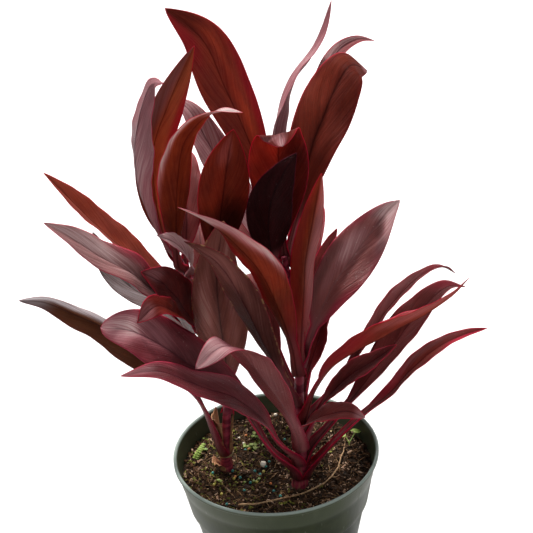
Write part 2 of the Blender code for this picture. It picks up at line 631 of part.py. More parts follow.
def build_twig(group, material):
    flat_way = smooth_way(TWIG_WAY, 30)
    points = [(x, y, resting_height(x, y, TWIG_RADIUS)) for x, y in flat_way]
    radii = [TWIG_RADIUS * (1.0 - 0.35 * share) for share in np.linspace(0, 1, len(points))]
    return build_tube("twig", points, radii, group, material)


def fused(name, pieces, group, material):
    """Join overlapping solids into one closed body."""
    first = baked_copy(pieces[0])
    rest = make_collection(name + "_pieces")
    for piece in pieces[1:]:
        solid = baked_copy(piece)
        for owner in list(solid.users_collection):
            owner.objects.unlink(solid)
        rest.objects.link(solid)
    union = first.modifiers.new("join", "BOOLEAN")
    union.operation = "UNION"
    union.operand_type = "COLLECTION"
    union.collection = rest
    union.solver = "EXACT"
    whole = baked_copy(first)
    for piece in list(rest.objects):
        bpy.data.objects.remove(piece, do_unlink=True)
    bpy.data.collections.remove(rest)
    whole.name = name
    whole.data.name = name
    whole.data.materials.clear()
    whole.data.materials.append(material)
    return whole


def leaflet(name, middle, half_length, half_width_mm, turn, tilt, group):
    """A small flat oval leaflet, 0.8 mm thick."""
    bpy.ops.mesh.primitive_cylinder_add(vertices=8, radius=MM, depth=0.8 * MM)
    piece = bpy.context.object
    piece.name = name
    place = Matrix.Translation(Vector(middle) * MM) @ Matrix.Rotation(turn, 4, "Z")
    piece.data.transform(place @ Matrix.Rotation(tilt, 4, "Y")
                         @ Matrix.Diagonal((half_length, half_width_mm, 1.0, 1.0)))
    for owner in list(piece.users_collection):
        owner.objects.unlink(piece)
    group.objects.link(piece)
    return piece


def build_clover(group, material):
    """A stalk that forks to two small notched weed leaves."""
    x, y = CLOVER_FOOT
    foot = SOIL_TOP - 3.0
    pieces = [
        build_tube("clover_stalk", [(x, y, foot), (x, y, SOIL_TOP + 2.5), (x + 4, y + 6, SOIL_TOP + 5),
                                    (x + 5.6, y + 9.4, SOIL_TOP + 6)], [0.6] * 4, group, None, 1),
        build_tube("clover_fork", [(x, y, SOIL_TOP), (x, y, SOIL_TOP + 2.5), (x - 3, y + 4, SOIL_TOP + 6)],
                   [0.55] * 3, group, None, 1),
        leaflet("clover_leaf_a", (x + 7.2, y + 9.5, SOIL_TOP + 6.1), 3.0, 2.3, 0.2, 0.2, group),
        leaflet("clover_leaf_b", (x + 4.6, y + 11.6, SOIL_TOP + 6.1), 2.8, 2.2, 1.7, 0.2, group),
        leaflet("clover_leaf_c", (x - 4.4, y + 4.6, SOIL_TOP + 6.1), 2.6, 2.0, 2.6, 0.2, group),
    ]
    return fused("weed_clover", pieces, group, material)


def build_fern(group, material):
    """A short arching stem with small leaflets in pairs."""
    x, y = FERN_FOOT
    stem = [(x, y, SOIL_TOP - 3.0), (x, y, SOIL_TOP + 2.5), (x + 3, y + 4, SOIL_TOP + 6.5),
            (x + 6, y + 9, SOIL_TOP + 8)]
    pieces = [build_tube("fern_stem", stem, [0.6] * 4, group, None, 1)]
    for index, share in enumerate((0.45, 0.68, 0.9)):
        place = smooth_way(stem, [share])[0]
        for side in (-1, 1):
            middle = (place[0] + side * 2.0, place[1] - side * 0.9, place[2] + 0.1)
            pieces.append(leaflet(f"fern_leaf_{index}_{side + 1}", middle, 2.6 - 0.3 * index,
                                  1.2, -0.4, side * 0.15, group))
    return fused("weed_fern", pieces, group, material)


def main():
    clear_scene()
    plant = make_collection("ti_plant")
    pot_cutters = make_collection("pot_cutters")
    soil_cutters = make_collection("soil_cutters")
    green = make_material("pot_green", (0.055, 0.085, 0.065), 0.45)
    mix = make_material("potting_mix", (0.055, 0.035, 0.022), 0.95)
    bark = make_material("cane_bark", (0.16, 0.03, 0.04), 0.5)
    straw = make_material("twig_brown", (0.26, 0.15, 0.08), 0.8)
    weed = make_material("weed_green", (0.16, 0.32, 0.06), 0.5)
    blade = make_material("leaf_burgundy", (0.17, 0.02, 0.03), 0.35)
    build_pot(plant, pot_cutters, green)
    build_soil(plant, soil_cutters, mix)
    build_cane("cane_left", "left", plant, bark)
    build_cane("cane_right", "right", plant, bark)
    build_twig(plant, straw)
    build_clover(plant, weed)
    build_fern(plant, weed)
    for name, spec in LEAVES.items():
        build_leaf(name, spec, plant, blade)


main()
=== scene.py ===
"""Looks for the ti plant in its nursery pot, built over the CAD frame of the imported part.

Tables and shapes are in millimetres, in the part's own frame; meshes are made in metres.
"""

import math

import bpy
import numpy as np
from mathutils import Matrix, Vector, noise

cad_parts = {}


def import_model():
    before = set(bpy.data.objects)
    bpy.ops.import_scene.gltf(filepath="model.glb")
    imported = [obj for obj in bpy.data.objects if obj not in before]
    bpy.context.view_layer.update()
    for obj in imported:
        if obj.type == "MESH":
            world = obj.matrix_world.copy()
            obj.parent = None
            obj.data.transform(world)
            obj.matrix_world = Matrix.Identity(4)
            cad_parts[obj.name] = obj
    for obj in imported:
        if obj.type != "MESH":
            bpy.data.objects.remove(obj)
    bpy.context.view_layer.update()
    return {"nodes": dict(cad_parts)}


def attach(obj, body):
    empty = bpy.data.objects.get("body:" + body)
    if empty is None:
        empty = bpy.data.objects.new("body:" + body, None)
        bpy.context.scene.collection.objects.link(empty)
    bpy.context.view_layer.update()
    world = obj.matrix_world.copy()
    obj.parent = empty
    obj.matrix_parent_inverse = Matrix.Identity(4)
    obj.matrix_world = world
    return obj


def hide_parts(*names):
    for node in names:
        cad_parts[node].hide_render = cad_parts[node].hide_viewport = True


MM = 0.001

# The pot and the potting mix, as in the part
POT_HEIGHT = 125.0
RIM_RADIUS = 82.5
COLLAR_BOTTOM = 80.4
COLLAR_BOTTOM_RADIUS = 72.9
FOOT_RADIUS = 55.0
POT_WALL = 1.6
POT_FLOOR = 3.0
DRAIN_HOLES = 8
DRAIN_RADIUS = 4.0
DRAIN_RING = 39.5
SOIL_TOP = 108.0
SOIL_RELIEF = 1.3
PIECE_GAP = 0.3
CANE_DEPTH = 34.0

# How a leaf grows, as in the part, save that every petiole is a fifth broader here, and that of
# left_01 is broader still
PETIOLE_THICKNESS = 1.9
PETIOLE_HALF = 2.6
PETIOLE_SPREAD = 1.2
CLASP_SPREAD = 1.38
CLASP_GAP = 0.8
TIP_HALF = 0.6
KNEE_OUT = 3.0
KNEE_UP = 9.0

# The finer grid that each leaf is drawn on, and its thickness, midrib and groove
LEAF_ROWS = 64
PETIOLE_ROWS = 14
LEAF_COLUMNS = 21
EDGE_FINENESS = 0.92
THICK_PETIOLE = 1.5
THICK_BLADE = 0.5
RIB_RISE = 0.85
GROOVE_DEPTH = 0.22

# A leaf's soft unevenness: waves along its edges and ripples on them, the bulge of each half, and
# how far its surface wanders and pleats, the last three as shares of its half width
EDGE_WAVES = 2.3
EDGE_RIPPLE = 0.32
BULGE = 0.05
WANDER = 0.075
PLEAT = 0.008

# A petiole's channel: its bend in radians, its bend and distance where it clasps the cane, how
# much of it does, and where along it the blade begins to open
CHANNEL_BEND = 1.05
CLASP_BEND = 1.4
CLASP_OFF = 2.2
CLASP_SHARE = 0.55
OPENING = 0.72

# The UV layers hold distances in this many millimetres
UV_REACH = 10.0

# How finely round shapes are drawn: points round them, and rings or rows
POT_AROUND = 176
POT_STEP = 4.0
POT_SHARP = math.radians(42)
DRAIN_AROUND = 24
BED_AROUND, BED_RINGS = 180, 62
CANE_AROUND, CANE_ROWS = 28, 150
GRAIN_AROUND, GRAIN_RINGS = 9, 6
SHEATH_ROWS, SHEATH_COLUMNS = 26, 15
WEED_ROWS, WEED_COLUMNS = 9, 11
TWIG_ROWS = 90
FLOOR_AROUND = 64

# Thicknesses of thin sheets, and how far loose pieces keep off the pot's wall and the canes
SHEATH_THICK = 0.35
WEED_THICK = 0.3
WALL_CLEAR = 1.5
FOOT_CLEAR = 1.2

# The photo's camera: a long lens from in front and above, leaning a little to one side
FOCAL_PIXELS, IMAGE_PIXELS, SENSOR = 1240.0, 533.0, 36.0
CAMERA_PLACE = (0.0, -0.8162, 0.7173)
CAMERA_PITCH, CAMERA_YAW, CAMERA_ROLL = 27.61, 0.24, -4.2
CAMERA_NEAR = 0.05

# The studio: the floor's rings, the curve that turns it up into a backdrop, and the lights
FLOOR_RINGS = (1000.0, 2500.0, 4000.0)
BEND_START, BEND_RADIUS, WALL_TOP = 5500.0, 2000.0, 6000.0
SKY_COLOUR, SKY_STRENGTH = (0.95, 0.97, 1.0, 1.0), 0.19
# Each light: its place, what it aims at, its size, power and colour
LIGHTS = {
    "key": ((-0.5, 1.0, 2.3), (0.0, 0.0, 0.25), (0.32, 0.32), 100.0, (1.0, 0.985, 0.96)),
    "sky": ((0.0, 0.2, 2.8), (0.0, 0.0, 0.2), (4.0, 4.0), 68.0, (0.98, 0.99, 1.0)),
    "back": ((0.3, 2.5, 1.2), (0.0, 0.0, 0.3), (3.2, 1.8), 42.0, (1.0, 1.0, 1.0)),
    "front": ((1.5, -2.4, 1.3), (0.0, 0.0, 0.2), (1.6, 1.6), 11.0, (1.0, 1.0, 1.0)),
}

# Each cane: (x, y, z, radius) from the potting mix up
CANES = {
    "left": [
        (-41, 1, 108, 5.4), (-40, 1, 122, 4.6), (-38, 2, 145, 3.6), (-35, 3, 173, 3.4),
        (-34, 4, 198, 3.3), (-39, 7, 231, 3.2), (-49, 10, 263, 3.0), (-59, 14, 287, 2.7),
        (-64, 16, 301, 2.2)],
    "right": [
        (17, -27, 108, 6.8), (19, -26, 123, 5.6), (20, -24, 149, 4.6), (20, -21, 175, 4.0),
        (22, -18, 200, 3.6), (22, -15, 225, 3.3), (21, -10, 250, 3.0), (19, -5, 272, 2.7),
        (17, -1, 298, 2.2)],
}

# The dry twig on the potting mix with the rows where its hairs grow, and each weed's foot
TWIG_WAY = [(-32, -49), (-18, -49), (0, -45), (20, -40), (38, -28), (48, -12), (53, 4), (57, 20),
            (59, 33)]
TWIG_RADIUS = 1.0
TWIG_HAIRS = (14, 33, 52, 66, 79)
CLOVER_FOOT = (61, 20)
FERN_FOOT = (-66, 16)


def leaf(at, half, stalk, widest, wave, roll, fold, *way, **rest):
    """A row of the table of leaves."""
    return dict(at=at, half=half, stalk=stalk, widest=widest, wave=wave, roll=roll, fold=fold,
                way=list(way), **rest)


# Each leaf, named for its cane: the height where it grows, half its width, how much of its length
# is petiole, where along the blade it is widest, how far its edges wave, its roll in degrees from
# cane to tip, its fold at the midrib from petiole to tip, and the points that its midrib passes.
# Where they aren't the usual ones: half its petiole's width (stem), how full its outline is, the
# compass angle that it faces and how much its blade cups
LEAVES = {
    "right_01": leaf(129, 13.5, 0.3, 0.45, 1.5, (-20, -45, -38, -28), (20, 12), (1, -44, 163),
        (-8, -54, 191), (-26, -64, 218), (-50, -74, 237), (-76, -82, 257), (-103, -90, 261),
        stem=4.2),
    "right_02": leaf(117, 21.5, 0.42, 0.6, 1.5, (-20, -45, -45, -40), (20, 8), (-4, -36, 148),
        (-17, -40, 182), (-28, -44, 211), (-58, -50, 242), (-80, -54, 265), (-97, -56, 277),
        (-117, -56, 281), stem=4, full=0.55),
    "right_03": leaf(116, 8.5, 0.42, 0.5, 0.8, (0, 10, 15, 15), (25, 20), (46, -32, 150),
        (66, -32, 171), (89, -32, 191), (107, -32, 212), (126, -34, 230), (144, -36, 240),
        (161, -40, 247), stem=3.4),
    "right_04": leaf(142, 14, 0.28, 0.6, 0.8, (10, 25, 5, -20), (22, 8), (16, -46, 174),
        (6, -60, 211), (-6, -72, 241), (-17, -84, 267), (-31, -96, 282), (-50, -104, 271), stem=4.6,
        full=0.7),
    "right_05": leaf(156, 10.5, 0.25, 0.5, 0.8, (0, 20, 20), (22, 10), (28, -44, 179),
        (40, -50, 188), (54, -54, 193), (68, -58, 189), stem=3.2),
    "right_06": leaf(149, 10, 0.38, 0.5, 0.6, (0, 25, 25), (20, 15), (36, -32, 182), (49, -34, 201),
        (64, -34, 214), (80, -34, 224), (95, -34, 235), stem=3),
    "right_07": leaf(130, 15.5, 0.3, 0.55, 1.0, (0, 10, 10, 0), (22, 18), (46, -14, 156),
        (68, -6, 178), (91, 2, 204), (116, 12, 231), (139, 20, 249), (157, 26, 246), stem=3.2),
    "right_08": leaf(166, 13.5, 0.28, 0.45, 0.6, (-10, -20, -20, -15), (35, 50, 20), (32, -38, 202),
        (46, -43, 226), (65, -47, 241), (90, -51, 257), (114, -55, 272), (132, -57, 286),
        (144, -58, 300), stem=3),
    "right_09": leaf(154, 8.5, 0.32, 0.5, 0.6, (0, -10, -10), (25, 25), (54, 2, 184), (78, 18, 209),
        (94, 28, 227), (110, 36, 241), (127, 42, 251), (142, 48, 253), (154, 54, 243)),
    "right_10": leaf(181, 13, 0.22, 0.55, 0.8, (20, 35, 40, 40), (25, 15), (10, -32, 211),
        (-4, -38, 251), (-18, -44, 294), (-29, -46, 318), (-41, -44, 329), (-53, -40, 336),
        stem=3.4),
    "right_11": leaf(188, 9, 0.25, 0.5, 0.5, (0, 10, 10), (25, 20), (32, -8, 208), (39, -1, 225),
        (46, 6, 246)),
    "right_12": leaf(206, 15, 0.22, 0.52, 1.0, (10, 15, 10, -25), (28, 18), (18, -32, 239),
        (10, -44, 278), (-2, -53, 316), (-19, -55, 341), (-36, -52, 356), (-54, -48, 366),
        stem=3.8),
    "right_13": leaf(216, 13, 0.2, 0.45, 0.6, (-10, -30, -35), (30, 50, 20), (25, -29, 246),
        (28, -34, 278), (31, -34, 309), (38, -31, 340), (46, -27, 374), facing=-55),
    "right_14": leaf(211, 19, 0.24, 0.5, 1.8, (20, 50, 50, 45), (25, 12), (33, -16, 236),
        (47, -10, 267), (59, -4, 283), (77, 6, 302), (94, 14, 319), (106, 20, 327), stem=3.4),
    "right_15": leaf(234, 6.5, 0.25, 0.5, 0.5, (-30, -41, -41), (30, 20), (31, -5, 270),
        (37, -1, 303), (43, 4, 334)),
    "right_16": leaf(224, 9, 0.25, 0.5, 0.5, (0, 0, 0), (25, 15), (40, 15, 261), (51, 30, 284),
        (60, 42, 297), facing=45),
    "right_17": leaf(284, 17, 0.18, 0.44, 0.8, (-20, -30, -35), (25, 10), (7, -16, 315),
        (9, -20, 349), (20, -20, 373), (30, -16, 386), facing=-65),
    "right_18": leaf(296, 21.5, 0.16, 0.58, 0.5, (14, 14, 14), (22, 8, -4), (17, 7, 314),
        (17, 8, 348), (18, 10, 377), (20, 5, 393), (21, -8, 388), full=0.6, facing=75, cup=0.05),
    "right_19": leaf(278, 19, 0.22, 0.62, 1.4, (-25, -22, -25, -30), (22, 8), (13, 12, 304),
        (9, 30, 332), (-3, 46, 374), (-17, 62, 409), (-31, 76, 443), (-57, 84, 467), facing=125),
    "right_20": leaf(288, 20.5, 0.2, 0.58, 1.2, (30, 32, 35, 40), (22, -4), (33, 27, 329),
        (43, 38, 365), (53, 48, 385), (65, 60, 405), (77, 70, 417), (91, 86, 407), full=0.75,
        facing=45),
    "right_21": leaf(262, 8.5, 0.3, 0.55, 0.6, (0, -15, 0, 40), (25, 20), (33, 13, 296),
        (41, 48, 353), (52, 72, 387), (60, 86, 407), (71, 98, 420), (86, 106, 425), (100, 114, 421),
        facing=55),
    "right_22": leaf(254, 15, 0.25, 0.55, 1.0, (0, -10, -10), (25, 12), (7, 10, 282), (-8, 34, 316),
        (-23, 53, 343), (-35, 64, 370), (-47, 72, 392), (-61, 78, 399), facing=135),
    "right_23": leaf(244, 9, 0.25, 0.6, 0.5, (10, 28, 28), (25, 20), (18, 14, 274), (8, 44, 318),
        (-4, 62, 349), (-12, 72, 369), (-23, 78, 374), facing=130),
    "right_24": leaf(269, 11, 0.25, 0.55, 0.8, (40, 70, 85, 120, 150), (25, 25), (14, 18, 300),
        (13, 46, 341), (19, 66, 378), (31, 80, 406), (50, 90, 426), (60, 96, 443), (67, 100, 459),
        facing=60),
    "right_25": leaf(200, 15, 0.3, 0.5, 1.2, (0, 0, 0), (25, 12), (25, 12, 236), (32, 34, 274),
        (38, 66, 292), (40, 100, 290), (40, 130, 268), facing=88),
    "right_26": leaf(211, 14, 0.25, 0.5, 1.0, (0, 5, 10), (25, 15), (12, 11, 244), (2, 30, 272),
        (-9, 56, 293), (-18, 84, 303), (-24, 112, 298), facing=103),
    "right_27": leaf(168, 14, 0.3, 0.5, 1.2, (0, 0, -5), (25, 12), (30, 6, 192), (40, 42, 219),
        (46, 78, 226), (50, 110, 212), facing=80),
    "right_28": leaf(176, 13, 0.3, 0.5, 1.0, (0, 0, 5), (25, 12), (10, 10, 200), (-3, 50, 226),
        (-12, 88, 234), (-18, 118, 222), facing=105),
    "left_01": leaf(124, 12.5, 0.42, 0.38, 1.0, (-10, -20, -50, -50), (20, -15, -32, -12),
        (-57, -10, 183), (-79, -18, 216), (-101, -24, 244), (-120, -30, 267), (-138, -34, 281),
        (-156, -38, 294.5), (-174, -40, 299), stem=3.9, full=0.75),
    "left_02": leaf(214, 15, 0.28, 0.5, 1.6, (-20, -35, -35), (22, 12), (-65, -4, 257),
        (-80, -11, 282), (-95, -18, 303), (-112, -26, 320), (-129, -34, 340), (-147, -44, 360)),
    "left_03": leaf(190, 13.5, 0.3, 0.5, 1.2, (0, -20, -20), (25, 12), (-76, 36, 239),
        (-106, 52, 255), (-124, 62, 276), (-131, 68, 297)),
    "left_04": leaf(224, 16, 0.25, 0.5, 1.2, (-30, -60, -50), (25, 15), (-57, 0, 252),
        (-71, -7, 283), (-88, -16, 302)),
    "left_05": leaf(200, 15, 0.42, 0.45, 0.8, (0, -35, -30, -20), (25, 12), (-55, -4, 224),
        (-60, -19, 254), (-66, -38, 278), (-77, -48, 290), (-91, -53, 281)),
    "left_06": leaf(236, 14.5, 0.28, 0.5, 0.8, (0, 0, -5), (28, 28), (-62, 19, 265), (-85, 24, 284),
        (-99, 28, 296), (-112, 32, 307), (-133, 36, 331), (-157, 40, 362)),
    "left_07": leaf(176, 20.5, 0.16, 0.44, 1.4, (-5, -5, -5), (20, 8), (-33, -8, 202),
        (-33, -12, 228), (-34, -16, 256), (-34, -19, 283), (-32, -19, 306), (-28, -16, 324),
        (-25, -12, 336), full=0.6, facing=-85),
    "left_08": leaf(229, 19, 0.3, 0.58, 1.0, (20, 33, 30), (22, 10), (-33, 22, 261), (-31, 26, 302),
        (-24, 26, 343), (-18, 24, 372), (-13, 20, 393), facing=55),
    "left_09": leaf(274, 10, 0.25, 0.5, 0.8, (-20, -50, -40), (25, 15), (-52, -4, 299),
        (-60, -14, 321), (-73, -21, 333), facing=-135),
    "left_10": leaf(298, 16, 0.15, 0.55, 0.8, (-10, -15, -15), (25, 15), (-79, 8, 335),
        (-84, 4, 365), (-80, -2, 405), (-71, -4, 431), (-65, -8, 441), (-57, -14, 443),
        facing=-135),
    "left_11": leaf(290, 16.5, 0.15, 0.45, 0.6, (45, 60, 62), (30, 40, 20), (-75, 30, 331),
        (-73, 33, 376), (-59, 36, 409), (-45, 39, 435), (-36, 39, 451), facing=30),
    "left_12": leaf(286, 14, 0.12, 0.5, 0.8, (-10, -10, 0, 0), (25, 12), (-60, -2, 331),
        (-55, -9, 370), (-47, -17, 400), (-34, -27, 419), (-20, -36, 428), (-5, -44, 429),
        facing=-55),
    "left_13": leaf(218, 15, 0.25, 0.5, 1.2, (0, 0, 0), (25, 12), (-44, 36, 262), (-48, 76, 286),
        (-50, 112, 280), (-50, 138, 256), facing=95),
    "left_14": leaf(276, 14, 0.2, 0.5, 1.0, (0, 5, 5), (25, 12), (-54, 36, 318), (-54, 66, 345),
        (-50, 94, 350), facing=88),
    "left_15": leaf(158, 13, 0.25, 0.5, 1.0, (0, 0, 0), (25, 12), (-30, 30, 190), (-26, 66, 212),
        (-24, 98, 210), facing=85),
}


# A petiole's mauve middle, lightened by a painted highlight down it, its crimson edges and its
# streaks
PETIOLE_MIDDLE_HIGHLIGHT = (0.37, 0.115, 0.12)
PETIOLE_EDGE = (0.34, 0.010, 0.042)
PETIOLE_STREAK = (0.05, 0.004, 0.012)
SPECK_COLOUR = (0.55, 0.42, 0.38)
DRY_EDGE = (0.42, 0.23, 0.10)
# Pale pink that the light coming through turns to under painted sheen: a painted highlight
GLOW_PAINTED_SHEEN = (0.92, 0.60, 0.56)
GLOW_FLUSH = (0.8, 0.04, 0.07)
GLOW_MARGIN = (0.9, 0.05, 0.12)
BLACK = (0.0, 0.0, 0.0)
CRIMSON = (0.40, 0.010, 0.038)
# Colours of painted sheen, a painted reflection of the sky: rosy where faint, silvery where bright
ROSY_SHEEN = (0.36, 0.145, 0.155)
BRIGHT_SHEEN = (0.64, 0.45, 0.44)

# Each skin: its dark and light colours, those of the light that comes through it and how much
# there is, its roughness and gloss, the colours of its margin, midrib and faint painted sheen (a
# painted reflection of the sky), how far the margin's colour spreads, and, where they aren't the
# usual ones, its bright painted sheen's colour and how worn its edge is
SKINS = {
    "wine": ((0.042, 0.005, 0.007), (0.13, 0.019, 0.021), (0.58, 0.08, 0.07), (0.85, 0.18, 0.11),
        0.3, 0.4, 0.1, CRIMSON, (0.03, 0.002, 0.007), ROSY_SHEEN, 0.15),
    "ruby": ((0.06, 0.004, 0.004), (0.175, 0.017, 0.01), (0.55, 0.08, 0.05), (0.88, 0.18, 0.11),
        0.5, 0.42, 0.04, CRIMSON, (0.04, 0.002, 0.004), ROSY_SHEEN, 0.15),
    "ember": ((0.075, 0.007, 0.004), (0.19, 0.022, 0.009), (0.52, 0.12, 0.07), (0.88, 0.29, 0.13),
        0.55, 0.45, 0.04, CRIMSON, (0.045, 0.003, 0.004), ROSY_SHEEN, 0.12),
    # A bright orange skin whose colour is raised to paint the glow of light coming through a leaf
    # that sits in shade
    "flame": ((0.22, 0.028, 0.009), (0.55, 0.11, 0.025), (0.65, 0.16, 0.08), (0.95, 0.42, 0.18),
        0.55, 0.45, 0.04, CRIMSON, (0.06, 0.003, 0.006), ROSY_SHEEN, 0.1),
    "rose": ((0.062, 0.01, 0.016), (0.19, 0.036, 0.05), (0.6, 0.08, 0.08), (0.8, 0.18, 0.14), 0.22,
        0.35, 0.22, (0.33, 0.016, 0.046), (0.035, 0.004, 0.01), (0.38, 0.15, 0.17), 0.24),
    "cocoa": ((0.046, 0.009, 0.007), (0.155, 0.04, 0.03), (0.5, 0.1, 0.08), (0.7, 0.2, 0.12), 0.2,
        0.36, 0.14, (0.24, 0.01, 0.028), (0.016, 0.001, 0.004), (0.36, 0.125, 0.105), 0.15,
        (0.52, 0.29, 0.25), 0.6),
    "silk": ((0.052, 0.012, 0.01), (0.17, 0.05, 0.04), (0.55, 0.1, 0.08), (0.75, 0.2, 0.14), 0.22,
        0.34, 0.28, (0.36, 0.018, 0.046), (0.2, 0.075, 0.075), (0.36, 0.18, 0.18), 0.36),
    "slate": ((0.045, 0.012, 0.004), (0.105, 0.034, 0.014), (0.5, 0.16, 0.08), (0.7, 0.25, 0.12),
        0.2, 0.42, 0.06, (0.1, 0.02, 0.03), (0.03, 0.01, 0.01), (0.26, 0.215, 0.225), 0.1,
        (0.6, 0.54, 0.55)),
    "umber": ((0.04, 0.008, 0.007), (0.145, 0.036, 0.03), (0.5, 0.1, 0.08), (0.7, 0.2, 0.12), 0.2,
        0.38, 0.1, (0.2, 0.02, 0.028), (0.045, 0.002, 0.01), (0.36, 0.125, 0.108), 0.15,
        (0.55, 0.32, 0.28), 1.0),
    # A near-black skin, painted shade, for leaves that sit deep in shade
    "night": ((0.011, 0.0012, 0.0016), (0.026, 0.0036, 0.0046), (0.2, 0.02, 0.03),
        (0.3, 0.04, 0.04), 0.12, 0.5, 0.05, (0.05, 0.003, 0.01), (0.006, 0.001, 0.002),
        (0.08, 0.03, 0.035), 0.0),
}


def look(upper, under, tone, painted_sheen=(0.06,), lit=(0.35,), flush=(0.0,), dim=(0.0,)):
    """A row of the table of looks."""
    return dict(skins=(upper, under), tone=tone, painted_sheen=painted_sheen, lit=lit, flush=flush, dim=dim)
